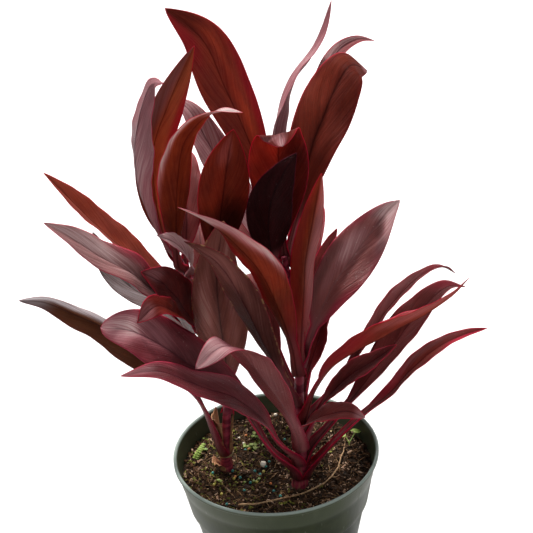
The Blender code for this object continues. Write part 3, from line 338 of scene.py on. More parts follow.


# How each leaf looks: the skins of its upper side and its underside, how dark or light it is, and
# where a grey-pink painted sheen (a painted reflection of the sky) lies on it, where it glows with
# light coming through, partly painted into its colour, where it is flushed crimson and where
# painted shade darkens it, each as a base and soft oval patches (along, across, two reaches,
# amount)
PLAIN = look("wine", "wine", 0.5)
LOOKS = {
    "right_01": look("rose", "wine", 0.1, painted_sheen=(0.0, (0.93, -0.3, 0.1, 0.8, 0.35),
        (0.55, -0.75, 0.3, 0.3, 0.1)), flush=(0.0, (0.82, -0.95, 0.22, 0.25, 0.35))),
    "right_02": look("rose", "wine", 0.15, painted_sheen=(0.0, (0.74, -0.2, 0.18, 0.5, 0.35),
        (0.92, -0.1, 0.13, 0.9, 0.65)), flush=(0.05, (0.95, 0.0, 0.1, 1.5, 0.2),
        (0.68, -0.95, 0.3, 0.25, 0.3)), dim=(0.0, (0.35, 0.3, 0.35, 0.9, 0.45))),
    "right_03": look("wine", "ember", 0.2, painted_sheen=(0.0, (0.5, 0.6, 0.3, 0.3, 0.12)),
        lit=(0.3, (0.6, -0.2, 0.25, 0.6, 0.4)), flush=(0.0, (0.85, -0.6, 0.16, 0.6, 1.0),
        (0.15, 0.6, 0.25, 0.6, 0.5)), dim=(0.0, (0.3, -0.5, 0.3, 0.6, 0.3))),
    "right_04": look("rose", "silk", 0.35, painted_sheen=(0.02, (0.93, 0.0, 0.16, 2.5, 0.75),
        (0.45, 0.5, 0.25, 0.4, 0.1)), flush=(0.25,)),
    "right_05": look("wine", "wine", 0.6, painted_sheen=(0.05, (0.97, 0.0, 0.12, 1.5, 0.5)), lit=(0.5,)),
    "right_06": look("wine", "wine", 0.3, painted_sheen=(0.0,), lit=(0.2,)),
    "right_07": look("wine", "wine", 0.1, painted_sheen=(0.0, (0.5, -0.5, 0.3, 0.4, 0.05)),
        flush=(0.0, (0.92, 0.6, 0.12, 0.7, 0.5)), dim=(0.35,)),
    "right_08": look("wine", "ember", 0.5, painted_sheen=(0.02, (0.75, -0.6, 0.3, 0.4, 0.25)), lit=(0.6,),
        flush=(0.05, (0.9, 0.5, 0.12, 0.8, 0.7), (0.2, -0.6, 0.2, 0.6, 0.6))),
    "right_09": look("wine", "wine", 0.1, painted_sheen=(0.0, (0.5, 0.5, 0.3, 0.5, 0.1)),
        flush=(0.0, (1.0, 0.0, 0.25, 1.5, 0.5)), dim=(0.3,)),
    "right_10": look("umber", "umber", 0.4, painted_sheen=(0.0, (0.78, -0.1, 0.18, 1.0, 0.3),
        (0.5, 0.4, 0.2, 0.3, 0.12)), dim=(0.0, (0.15, 0.0, 0.4, 1.5, 0.4))),
    "right_11": look("wine", "wine", 0.4, painted_sheen=(0.0,), flush=(0.2,)),
    "right_12": look("rose", "ember", 0.3, painted_sheen=(0.0, (0.95, 0.2, 0.14, 1.2, 0.9),
        (0.78, 0.8, 0.2, 0.5, 1.0), (0.6, 1.0, 0.16, 0.34, 0.9)),
        lit=(0.7, (0.3, 0.4, 0.25, 0.5, 0.3), (0.8, 0.7, 0.2, 0.6, 0.3)),
        flush=(0.0, (0.5, -0.9, 0.4, 0.3, 0.5), (0.8, 0.78, 0.2, 0.5, 0.32),
        (0.1, 0.6, 0.2, 0.6, 0.35)), dim=(0.0, (0.25, -0.4, 0.3, 0.5, 0.2))),
    "right_13": look("wine", "ember", 0.6, painted_sheen=(0.0, (0.42, 0.8, 0.75, 0.7, 0.4)), lit=(0.85,),
        flush=(0.0, (0.5, -0.7, 0.5, 0.4, 0.3), (0.1, 0.0, 0.2, 1.2, 0.3))),
    "right_14": look("silk", "wine", 0.6, painted_sheen=(0.08, (0.97, 0.1, 0.16, 1.5, 1.0),
        (0.58, 0.3, 0.15, 0.4, 0.36), (0.42, 0.3, 0.2, 0.25, 0.12), (0.84, -0.85, 0.22, 0.4, 0.75)),
        flush=(0.15, (0.8, -0.95, 0.3, 0.4, 0.3), (0.9, 0.95, 0.25, 0.35, 0.5),
        (0.1, -0.95, 0.25, 0.45, 0.9)), dim=(0.0, (0.81, -0.1, 0.045, 0.25, 0.4),
        (0.75, -0.4, 0.05, 0.25, 0.5), (0.68, -0.75, 0.06, 0.2, 0.5), (0.84, 0.5, 0.05, 0.25, 0.35),
        (0.35, 0.8, 0.22, 0.3, 0.5), (0.5, -0.2, 0.2, 0.1, 0.25))),
    "right_15": look("night", "night", 0.5, painted_sheen=(0.0,)),
    "right_16": look("wine", "wine", 0.4, painted_sheen=(0.0,)),
    "right_17": look("night", "night", 0.5, painted_sheen=(0.0,), lit=(0.1,)),
    "right_18": look("ruby", "ruby", 0.35, painted_sheen=(0.0, (1.0, 0.12, 0.13, 0.5, 0.55),
        (0.88, 0.7, 0.03, 0.6, 0.3)), lit=(0.25, (0.55, 0.6, 0.45, 0.6, 0.4),
        (0.7, 0.0, 0.15, 0.4, 0.2)), dim=(0.0, (0.4, -0.6, 0.4, 0.5, 0.3),
        (0.85, 0.1, 0.08, 0.9, 0.35))),
    "right_19": look("ember", "ember", 0.35, painted_sheen=(0.03,),
        lit=(0.4, (0.55, -0.35, 0.35, 0.14, 0.22), (0.3, -0.4, 0.3, 0.6, 0.2)),
        flush=(0.12, (0.4, -0.9, 0.35, 0.25, 0.6), (0.9, 0.7, 0.2, 0.5, 0.5)),
        dim=(0.0, (0.95, -0.3, 0.12, 0.8, 0.4))),
    "right_20": look("ember", "wine", 0.25, painted_sheen=(0.02, (1.0, 0.0, 0.05, 1.5, 0.5)),
        lit=(0.35, (0.6, 0.5, 0.3, 0.4, 0.4)), flush=(0.08,), dim=(0.0, (0.5, -0.5, 0.4, 0.45, 0.3),
        (0.5, 0.0, 0.5, 0.06, 0.5))),
    "right_21": look("wine", "wine", 0.5, painted_sheen=(0.2, (0.6, 0.5, 0.4, 0.5, 0.5))),
    "right_22": look("rose", "wine", 0.5, painted_sheen=(0.6,)),
    "right_23": look("rose", "wine", 0.6, painted_sheen=(0.7,)),
    "right_24": look("rose", "rose", 0.6, painted_sheen=(0.42,)),
    "left_01": look("slate", "cocoa", 0.15, painted_sheen=(0.0, (0.75, -0.85, 0.65, 0.5, 0.62),
        (1.0, 0.2, 0.16, 1.5, 0.4)), lit=(0.2, (0.35, 0.7, 0.5, 0.5, 0.7)),
        dim=(0.0, (0.3, 0.6, 0.4, 0.6, 0.3))),
    "left_02": look("silk", "wine", 0.4, painted_sheen=(0.36, (0.72, -0.35, 0.25, 0.45, 0.4),
        (0.45, 0.2, 0.15, 0.3, 0.1)), flush=(0.0, (0.36, -0.9, 0.2, 0.35, 0.9),
        (0.1, 0.9, 0.2, 0.5, 0.4)), dim=(0.0, (0.15, 0.1, 0.3, 0.9, 0.35))),
    "left_03": look("slate", "slate", 0.4, painted_sheen=(0.45,), dim=(0.4,)),
    "left_04": look("wine", "wine", 0.1, painted_sheen=(0.0, (0.85, -0.3, 0.12, 0.6, 0.3)), lit=(0.25,)),
    "left_05": look("ruby", "wine", 0.1, painted_sheen=(0.0, (0.9, 0.0, 0.1, 1.0, 0.3)), lit=(0.3,)),
    "left_06": look("ember", "ember", 0.6, painted_sheen=(0.07,), lit=(0.65,)),
    "left_07": look("cocoa", "cocoa", 0.95, painted_sheen=(0.08, (0.62, 0.5, 0.3, 0.2, 0.42),
        (0.5, -0.5, 0.22, 0.26, 0.5), (0.2, 0.4, 0.15, 0.3, 0.2), (0.9, 0.1, 0.15, 0.8, 0.15)),
        dim=(0.0, (0.35, 0.0, 0.5, 0.12, 0.4))),
    "left_08": look("ember", "wine", 0.45, painted_sheen=(0.02, (0.85, 0.2, 0.12, 0.4, 0.15)), lit=(0.55,),
        dim=(0.0, (0.25, -0.5, 0.28, 0.9, 0.9), (0.25, 0.7, 0.2, 0.6, 0.5))),
    "left_09": look("rose", "rose", 0.9, painted_sheen=(0.75,), lit=(0.9,)),
    "left_10": look("wine", "rose", 0.55, painted_sheen=(0.36, (0.3, 0.3, 0.3, 0.5, 0.2)),
        flush=(0.0, (0.2, 0.7, 0.25, 0.6, 0.4))),
    "left_11": look("flame", "wine", 0.7, painted_sheen=(0.04, (0.75, 0.6, 0.35, 0.5, 0.3),
        (0.4, 0.7, 0.3, 0.3, 0.2)), lit=(0.3, (0.45, -0.6, 0.5, 0.6, 1.0)),
        flush=(0.0, (0.1, -0.8, 0.3, 0.4, 0.5), (0.6, -1.0, 0.22, 0.4, 1.0)),
        dim=(0.0, (0.5, 0.7, 0.6, 0.5, 0.5))),
    "left_12": look("ember", "ember", 0.35, painted_sheen=(0.0, (0.98, 0.0, 0.14, 2.0, 1.0),
        (0.68, -1.0, 0.32, 0.34, 0.9)), lit=(0.3,)),
}


class Wire:
    """A shader node's output, which takes part in formulas and carries its node tree along."""

    def __init__(self, socket):
        self.socket, self.tree = socket, socket.id_data

    def math(self, operation, other=0.0, clamp=False):
        settings = {"operation": operation, "use_clamp": clamp}
        return node(self.tree, "Math", settings, i0=self, i1=other)[0]

    def __add__(self, other):
        return self.math("ADD", other)

    def __sub__(self, other):
        return self.math("SUBTRACT", other)

    def __mul__(self, other):
        return self.math("MULTIPLY", other)

    def __abs__(self):
        return self.math("ABSOLUTE")

    def ranged(self, low, high, to_low=0.0, to_high=1.0, kind="SMOOTHSTEP"):
        return node(self.tree, "MapRange", {"interpolation_type": kind},
                    i0=self, i1=low, i2=high, i3=to_low, i4=to_high)[0]

    def noise(self, scale, detail=2.0, rough=0.5):
        """Noise over this place."""
        return node(self.tree, "TexNoise", {"noise_dimensions": "3D"}, Vector=self, Scale=scale,
                    Detail=detail, Roughness=rough)[0]

    def mapped(self, scale, turn=(0.0, 0.0, 0.0)):
        """This place, scaled along each axis and turned."""
        return node(self.tree, "Mapping", Vector=self, Scale=scale, Rotation=turn)[0]

    def bump(self, distance, strength):
        return node(self.tree, "Bump", Strength=strength, Distance=distance, Height=self)[0]


def node(tree, kind, settings=None, **inputs):
    """A shader node's outputs; each input is a value or a wire."""
    made = tree.nodes.new("ShaderNode" + kind)
    for key, value in (settings or {}).items():
        setattr(made, key, value)
    for key, value in inputs.items():
        slot = made.inputs[int(key[1:]) if key[1:].isdigit() else key.replace("_", " ")]
        if isinstance(value, Wire):
            tree.links.new(value.socket, slot)
        else:
            slot.default_value = value
    return [Wire(output) for output in made.outputs]


def mixed(share, *colours):
    """Two colours mixed by a share; each is a wire or red, green and blue."""
    first, second = (c if isinstance(c, Wire) else (*c, 1.0) for c in colours)
    return node(share.tree, "Mix", {"data_type": "RGBA"}, i0=share, i6=first, i7=second)[2]


def layered(colour, layers):
    """A colour with others laid over it, each by its share."""
    for share, over in layers:
        colour = mixed(share, colour, over)
    return colour


def times(colour, factor):
    return [min(value * factor, 0.95) for value in colour]


def new_material(name):
    """An empty material, and the place on the object as its first wire."""
    material = bpy.data.materials.new(name)
    material.use_nodes = True
    material.node_tree.nodes.clear()
    return material, node(material.node_tree, "TexCoord")[3]


def finished(material, colour, rough, normal=None, gloss=0.5, through=None, glow=0.0):
    """The material, ended by a surface; light in one constant share comes through a thin one."""
    tree = colour.tree
    relief = {} if normal is None else {"Normal": normal}
    shader = node(tree, "BsdfPrincipled", Base_Color=colour, Roughness=rough,
                  Specular_IOR_Level=gloss, **relief)[0]
    if through is not None:
        clear = node(tree, "BsdfTranslucent", Color=through, **relief)[0]
        shader = node(tree, "MixShader", i0=glow, i1=shader, i2=clear)[0]
    node(tree, "OutputMaterial", Surface=shader)
    return material


def leaf_material(name, dark, light, glow_dark, glow_light, glow, rough, gloss, edge, rib, sheen_colour,
                  blush, bright_sheen=BRIGHT_SHEEN, wear=0.0):
    """A leaf's skin: fine slanting veins, a dark midrib and a bright thin margin.

    What differs from leaf to leaf and over a leaf comes in five UV layers, see build_leaf."""
    material, place = new_material(name)
    tree = place.tree

    def layer(key):
        uv = node(tree, "UVMap", {"uv_map": key})[0]
        return node(tree, "SeparateXYZ", Vector=uv)[:2]

    (along, across), (from_rib, from_edge) = layer("leaf"), layer("edge")
    (painted_sheen, lit), (flush, dim), (seed, tone) = layer("painted_light"), layer("paint"), layer("kind")
    side = abs(across * 2.0 - 1.0)
    slant = side - along * 2.1
    offset = across.math("GREATER_THAN", 0.5) * 5.0 + seed * 60.0

    def veins(x, y, detail, roughness):
        return node(tree, "CombineXYZ", X=x, Y=y, Z=offset)[0].noise(1.0, detail, roughness)

    streaks = veins(slant * 11.0, along * 2.2, 3.0, 0.6)
    fine = veins(slant * 38.0, along * 4.0, 2.0, 0.5)
    broad = veins(side * 1.9, along * 3.6, 2.0, 0.5)
    mottle = place.noise(210.0, 3.0, 0.6)
    streak = (streaks * 0.6 + fine * 0.4).ranged(0.39, 0.61)
    shade = streak * 0.42 + broad.ranged(0.32, 0.68) * 0.46 + mottle.ranged(0.35, 0.65) * 0.12
    shade = shade.math("ADD", tone * 0.6 - 0.3, clamp=True)
    rib_line = abs(from_rib).ranged(0.02, 0.085, 1.0, 0.0) * along.ranged(0.8, 1.0, 1.0, 0.15)
    margin = from_edge.ranged(0.012, 0.085, 1.0, 0.0)
    # The petiole: crimson edges and a mauve middle with a painted highlight down it
    petiole = along.ranged(-0.04, 0.14, 1.0, 0.0)
    flesh = mixed(side.ranged(0.35, 0.95), PETIOLE_MIDDLE_HIGHLIGHT, PETIOLE_EDGE)
    flesh = mixed(streak * 0.45, flesh, PETIOLE_STREAK)
    # Painted sheen: a grey-pink painted reflection of the sky, streaked along the veins and made up
    # for the share of light that comes through
    spread = painted_sheen * (streak * 0.65 + 0.62)
    full = 0.8 / (1 - glow)
    layers = [
        # Painted glow: the colour warmed where light comes through
        (lit * 0.3, times(glow_light, 0.5)),
        (from_edge.ranged(0.05, 0.5, blush, 0.0), edge),
        # Painted sheen, faint and then bright
        (spread.ranged(0.0, 0.5, 0.0, 0.92, "LINEAR"), times(sheen_colour, full)),
        (spread.ranged(0.42, 1.0, kind="LINEAR"), times(bright_sheen, full)),
        (flush * 0.8, edge),
        (petiole * 0.92, flesh),
        (rib_line * 0.6, rib),
        (margin * 0.85, times(edge, 1.3)),
        (place.noise(620.0, 0.0).ranged(0.80, 0.83) * (1.1 * gloss), SPECK_COLOUR),
    ]
    if wear:
        nibbled = from_edge.ranged(0.02, 0.16, 1.0, 0.0) * place.noise(170.0).ranged(0.52, 0.6)
        layers.append((nibbled * wear, DRY_EDGE))
    # Painted shade: the colour darkened where the leaf lies in shade
    layers.append((dim * 0.9, times(dark, 0.5)))
    # The light coming through: pale pink under painted sheen, a painted highlight, and darkened
    # where no glow is painted and under painted shade
    through = layered(mixed(shade, glow_dark, glow_light), [
        (painted_sheen * 0.7, GLOW_PAINTED_SHEEN), (flush * 0.8, GLOW_FLUSH), (lit * -0.75 + 0.75, BLACK),
        (rib_line * 0.6, times(glow_dark, 0.3)), (margin * 0.8, GLOW_MARGIN), (dim, BLACK)])
    normal = (streaks * 0.8 + fine * 0.5).bump(0.0016, 0.7)
    return finished(material, layered(mixed(shade, dark, light), layers),
                    broad * 0.2 + (rough - 0.1), normal, gloss, through, glow)


def pot_material():
    """Dark green moulded plastic, dusty and scuffed, with painted highlights on its collar's upper
    band and the rim's edge, and darker below the collar.
    """
    material, place = new_material("pot_plastic")
    height = node(place.tree, "SeparateXYZ", Vector=place)[2]
    clouds = place.noise(24.0, 4.0, 0.6)
    runs = place.mapped((90.0, 90.0, 9.0)).noise(1.0, 3.0, 0.6)
    scratches = place.mapped((320.0, 320.0, 40.0), (0.5, 0.3, 0.2)).noise(1.0, 1.0)
    wear = runs.ranged(0.52, 0.72) * 0.35
    # Painted highlight on the collar's upper band, and the body below the collar darker
    collar_highlight = height.ranged((COLLAR_BOTTOM + 24) * MM, (COLLAR_BOTTOM + 28) * MM)
    under = height.ranged((COLLAR_BOTTOM - 3) * MM, COLLAR_BOTTOM * MM, 1.0, 0.0)
    # Painted highlight on the rim's edge
    rim = height.ranged((POT_HEIGHT - 2.4) * MM, (POT_HEIGHT - 0.7) * MM)
    plastic = mixed(clouds.ranged(0.35, 0.7), (0.020, 0.026, 0.010), (0.042, 0.050, 0.020))
    colour = layered(plastic, [
        (collar_highlight * 0.5, (0.078, 0.090, 0.055)), (under * 0.35, (0.010, 0.013, 0.006)),
        (wear * 0.5, (0.13, 0.14, 0.10)), (scratches.ranged(0.72, 0.78) * 0.22, (0.24, 0.26, 0.22)),
        (rim * 0.8, (0.27, 0.32, 0.29))])
    relief = runs * 0.8 + place.noise(1400.0) * 0.12
    return finished(material, colour, clouds * 0.22 + wear * 0.5 + 0.3, relief.bump(0.0006, 0.35),
                    0.16)


def cane_material():
    """Cane skin: crimson flesh, darker rings and dry papery patches near its foot."""
    material, place = new_material("cane_skin")
    height = node(place.tree, "SeparateXYZ", Vector=place)[2]
    wobble = place.noise(60.0) * 0.016 - 0.008
    rings = node(place.tree, "TexNoise", {"noise_dimensions": "1D"}, W=height + wobble,
                 Scale=170.0, Detail=2.0)[0]
    streaks = place.mapped((520.0, 520.0, 45.0)).noise(1.0, 3.0)
    low = height.ranged((SOIL_TOP + 10) * MM, (SOIL_TOP + 46) * MM, 1.0, 0.0)
    flesh = mixed(rings.ranged(0.4, 0.62), (0.12, 0.008, 0.022), (0.28, 0.030, 0.055))
    colour = mixed(low * streaks.ranged(0.5, 0.64) * 0.3, flesh, (0.30, 0.17, 0.09))
    return finished(material, colour, streaks * 0.25 + 0.36,
                    (rings * 0.9 + streaks * 0.4).bump(0.0012, 0.6), 0.2)


def crumb_material(name, dark, light, scale, rough=0.9, gloss=0.12):
    """Bark, peat or fibre: grainy and unevenly coloured from piece to piece."""
    material, place = new_material(name)
    grain = place.noise(scale * 7.0, 3.0, 0.6)
    both = place.noise(scale, 3.0, 0.65) * 0.65 + grain * 0.35
    colour = mixed(both.ranged(0.34, 0.66), dark, light)
    return finished(material, colour, rough, grain.bump(0.0008, 0.8), gloss)


def bead_material(name, colour, other):
    """A round grain of feed or perlite, a little glossy."""
    material, place = new_material(name)
    tone = mixed(place.noise(180.0).ranged(0.4, 0.62), colour, other)
    return finished(material, tone, 0.42, place.noise(1500.0).bump(0.0004, 0.4))


def green_material(name, dark, light):
    """Small weed leaves: bright green, thin and a little see-through."""
    material, place = new_material(name)
    tone = mixed(place.noise(260.0, 3.0).ranged(0.35, 0.65), dark, light)
    return finished(material, tone, 0.5, place.noise(900.0).bump(0.0005, 0.5), through=tone,
                    glow=0.3)


def smooth_way(points, count):
    """Points evenly along a smooth curve through the given ones, or at the given shares of it."""
    knots = np.array(points, float)
    padded = np.vstack([2 * knots[0] - knots[1], knots, 2 * knots[-1] - knots[-2]])
    fine = []
    for p0, p1, p2, p3 in zip(padded, padded[1:], padded[2:], padded[3:]):
        for u in np.linspace(0, 1, 16, endpoint=False):
            fine.append(0.5 * (2 * p1 + (p2 - p0) * u + (2 * p0 - 5 * p1 + 4 * p2 - p3) * u ** 2
                               + (3 * p1 - p0 - 3 * p2 + p3) * u ** 3))
    fine = np.array([*fine, knots[-1]])
    steps = np.linalg.norm(np.diff(fine[:, :3], axis=0), axis=1)
    along = np.concatenate([[0.0], np.cumsum(steps)])
    shares = np.asarray(count) if np.ndim(count) else np.linspace(0, 1, count)
    return np.stack([np.interp(shares * along[-1], along, line) for line in fine.T], axis=-1)


def smooth_step(u):
    return u * u * (3 - 2 * u)


def eased(values, t):
    """Values at each t from 0 to 1, eased between the given values."""
    values = np.asarray(values, float)
    place = np.clip(t, 0.0, 1.0) * (len(values) - 1)
    index = np.minimum(place.astype(int), len(values) - 2)
    u = smooth_step(place - index)
    return values[index] * (1 - u) + values[index + 1] * u


def unit(vectors):
    return vectors / np.linalg.norm(vectors, axis=-1, keepdims=True)


def cane_at(cane, height):
    """The cane's axis point and radius at a height."""
    way = smooth_way(CANES[cane], 120)
    return [float(np.interp(height, way[:, 2], way[:, i])) for i in (0, 1, 3)]


def leaf_start(cane, spec):
    """The petiole's first two points, off the cane's skin, its heading and the cane's radius."""
    x, y, radius = cane_at(cane, spec["at"])
    heading = unit(np.array(spec["way"][0][:2], float) - (x, y))
    base = (x, y) + heading * (radius + PETIOLE_THICKNESS / 2 + CLASP_GAP)
    drift = np.subtract(cane_at(cane, spec["at"] + KNEE_UP)[:2], (x, y))
    knee = base + drift + heading * KNEE_OUT
    start = [(*base, spec["at"]), (*knee, spec["at"] + KNEE_UP)]
    return start, math.atan2(heading[1], heading[0]), radius


def half_width(spec, t):
    """Half the leaf's width at each t along it."""
    stalk, widest = spec["stalk"], spec["widest"]
    stem = spec.get("stem", PETIOLE_HALF) * PETIOLE_SPREAD
    u = np.clip((t - stalk) / (1 - stalk), 0.0, 1.0)
    swell = np.sin(np.pi * u ** (math.log(0.5) / math.log(widest))).clip(0)
    swell = (spec["half"] - stem * (1 - widest)) * swell ** spec.get("full", 0.85)
    blade = stem * (1 - u) + swell + TIP_HALF * u * (1 - 0.6 * u ** 8)
    petiole = stem * (1 + (CLASP_SPREAD - 1) * (1 - np.minimum(t / stalk, 1.0)) ** 2)
    return np.where(t < stalk, petiole, blade)


def leaf_frames(cane, spec, t):
    """The midrib's points, with the blade's sideways and upward directions there."""
    start, heading, radius = leaf_start(cane, spec)
    points = start + spec["way"]
    way = smooth_way(points, t)
    tangents = unit(smooth_way(points, np.minimum(t + 0.01, 1.0))
                    - smooth_way(points, np.maximum(t - 0.01, 0.0)))
    out = np.subtract(smooth_way(points, [0.6])[0], start[0])
    facing = math.radians(spec["facing"]) if "facing" in spec else math.atan2(out[1], out[0])
    settled = eased((0.0, 1.0), t / spec["stalk"])
    angles = heading + math.remainder(facing - heading, math.tau) * settled
    level = np.stack([-np.sin(angles), np.cos(angles), 0 * angles], axis=-1)
    sides = unit(level - tangents * np.sum(tangents * level, axis=1)[:, None])
    rolls = np.radians(eased(spec["roll"], t) * settled)[:, None]
    rolled = sides * np.cos(rolls) + np.cross(tangents, sides) * np.sin(rolls)
    return way, rolled, np.cross(tangents, rolled), radius


def mesh_object(name, shape, materials, slots=None, smooth=True):
    """An object from points in millimetres and faces, with a material slot for each face."""
    points, faces = shape
    mesh = bpy.data.meshes.new(name)
    mesh.from_pydata((np.asarray(points) * MM).tolist(), [],
                     [tuple(int(i) for i in face) for face in faces])
    for material in materials:
        mesh.materials.append(material)
    if slots is not None:
        mesh.polygons.foreach_set("material_index", np.asarray(slots, dtype=np.int32))
    mesh.polygons.foreach_set("use_smooth", np.full(len(mesh.polygons), smooth))
    mesh.validate()
    mesh.update()
    made = bpy.data.objects.new(name, mesh)
    bpy.context.scene.collection.objects.link(made)
    return made


def dress(piece, slot, *nodes):
    """A finished piece rides with the plant and stands for the CAD nodes that it covers."""
    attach(piece, "root")
    if nodes:
        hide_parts(*nodes)


def dressed(name, shape, material, slot, *nodes, smooth=True):
    """A finished piece of one material."""
    dress(mesh_object(name, shape, [material], smooth=smooth), slot, *nodes)


def ring_angles(around):
    return np.linspace(0, math.tau, around, endpoint=False)


def grid_faces(rows, columns, start=0, closed=False):
    """Quads between neighbouring points of a grid; closed joins its last column to the first."""
    index = np.arange(rows * columns).reshape(rows, columns) + start
    right = np.roll(index, -1, axis=1)
    if not closed:
        index, right = index[:, :-1], right[:, :-1]
    quads = np.stack([index[:-1], right[:-1], right[1:], index[1:]], axis=-1)
    return quads.reshape(-1, 4)


def circle(radius, height, around):
    """Points round a level circle about the pot's axis."""
    return [(radius * math.cos(a), radius * math.sin(a), height) for a in ring_angles(around)]


def round_faces(rows, around, first, last=None, start=0, turned=False):
    """Quads round a stack of rings, with fans to the points that close its ends."""
    faces = grid_faces(rows, around, start, closed=True)
    faces = [tuple(face) for face in (faces[:, ::-1] if turned else faces)]
    end = start + (rows - 1) * around
    for i in range(around):
        a, b = (i, (i + 1) % around) if turned else ((i + 1) % around, i)
        faces.append((first, start + a, start + b))
        if last is not None:
            faces.append((last, end + b, end + a))
    return faces


def sheet_faces(rows, columns):
    """Faces of a closed thin shell: its upper grid, its lower grid, and the rim all round."""
    count = rows * columns
    index = np.arange(count).reshape(rows, columns)
    faces = [grid_faces(rows, columns)[:, ::-1], grid_faces(rows, columns, count)]
    for line, turned in ((index[:, 0], True), (index[:, -1], False), (index[0], False),
                         (index[-1], True)):
        a, b = line[:-1], line[1:]
        quads = np.stack([a, b, b + count, a + count], axis=-1)
        faces.append(quads[:, ::-1] if turned else quads)
    return np.vstack(faces)


def shell(upper, lower):
    return np.vstack([np.reshape(upper, (-1, 3)), np.reshape(lower, (-1, 3))])


def surface_normals(grid):
    normals = np.cross(np.gradient(grid, axis=0), np.gradient(grid, axis=1))
    return normals / np.maximum(np.linalg.norm(normals, axis=2), 1e-9)[..., None]


def tube_rings(way, radii, around):
    """Rings of points round a way, on frames that turn as little as they can."""
    way = np.asarray(way, float)
    tangents = unit(np.gradient(way, axis=0))
    side = np.cross(tangents[0], (0.31, 0.87, 0.38))
    angles = ring_angles(around)[:, None]
    rings = []
    for place, tangent, radius in zip(way, tangents, radii):
        side = unit(side - tangent * (side @ tangent))
        other = np.cross(tangent, side)
        rings.append(place + radius * (np.cos(angles) * side + np.sin(angles) * other))
    return np.array(rings)


def tube(way, radii, around):
    """Points and faces of a capped tube."""
    rings = tube_rings(way, radii, around).reshape(-1, 3)
    return (np.vstack([rings, way[0], way[-1]]),
            round_faces(len(way), around, len(rings), len(rings) + 1))


def joined(parts):
    """One list of points and faces from several."""
    points, faces, start = [], [], 0
    for some_points, some_faces in parts:
        points.append(np.asarray(some_points, float))
        faces.extend(tuple(i + start for i in face) for face in some_faces)
        start += len(some_points)
    return np.vstack(points), faces


def lumps(x, y, z):
    return noise.noise(Vector((x, y, z)))


def leaf_sheet(cane, spec, seed):
    """The leaf's middle surface on a fine grid, with its grid values."""
    stalk = spec["stalk"]
    t = np.concatenate([np.linspace(0, stalk, PETIOLE_ROWS, endpoint=False),
                        np.linspace(stalk, 1.0, LEAF_ROWS)])
    way, sides, ups, cane_radius = leaf_frames(cane, spec, t)
    s = np.linspace(-1, 1, LEAF_COLUMNS)
    s = np.sign(s) * np.abs(s) ** EDGE_FINENESS
    along, across = np.meshgrid(t, s, indexing="ij")
    blade = np.clip((along - stalk) / (1 - stalk), 0.0, 1.0)
    arch = np.sin(np.pi * blade)
    wide = half_width(spec, t)[:, None] * np.ones_like(across)
    size = np.abs(across)
    # The open blade: a soft fold, waves and ripples at its edges, bulges and pleats between
    fold = np.radians(eased(spec["fold"], along))
    soft = np.sqrt(size ** 2 + 0.0025) - 0.05
    wave = spec["wave"] * arch * size ** 1.6
    wave = wave * np.sin(2 * np.pi * EDGE_WAVES * blade + np.where(across > 0, 0.6, 2.4))
    ripple = np.sin(2 * np.pi * (6.3 + 0.13 * seed % 1.7) * blade + seed)
    ripple = EDGE_RIPPLE * arch * size ** 3 * ripple
    wander = np.array([lumps(6.0 * b, 1.7 * a, 9.1 * seed)
                       for b, a in zip(blade.flat, across.flat)]).reshape(blade.shape)
    pleats = np.sin(across * 11.0 + 2.0 * wander + seed) * (1 - size ** 2)
    bulge = BULGE * wide * 4 * size * (1 - size) * arch ** 0.5
    bulge = bulge + arch * wide * (WANDER * wander + PLEAT * pleats)
    cup = spec.get("cup", 0.0) * wide * across * across * blade
    flat_side = across * wide * np.cos(fold)
    flat_up = soft * wide * np.sin(fold) + wave + ripple + bulge + cup
    # The petiole: a channel that bends round the cane where it clasps it
    clasp = np.clip(1 - along / (CLASP_SHARE * stalk), 0.0, 1.0) ** 1.3
    bend = CHANNEL_BEND + (CLASP_BEND - CHANNEL_BEND) * clasp
    radius = (wide * (1 - clasp) + (cane_radius + CLASP_OFF) * bend * clasp) / bend
    flatness = smooth_step(np.clip((along - stalk * OPENING) / (0.42 * (1 - stalk)), 0.0, 1.0))
    sideways = radius * np.sin(bend * across) * (1 - flatness) + flat_side * flatness
    upward = radius * (1 - np.cos(bend * across)) * (1 - flatness) + flat_up * flatness
    middle = (way[:, None, :] + sides[:, None, :] * sideways[..., None]
              + ups[:, None, :] * upward[..., None])
    return middle, along, across, blade, flatness, wide, clasp


def painted(blade, across, base, *patches):
    """A value all over a blade: a base, and soft oval patches."""
    value = np.full(blade.shape, float(base))
    for along_place, across_place, along_reach, across_reach, amount in patches:
        away = (((blade - along_place) / along_reach) ** 2
                + ((across - across_place) / across_reach) ** 2)
        value += amount * np.exp(-away ** 2.2)
    return np.clip(value, 0.0, 1.0)


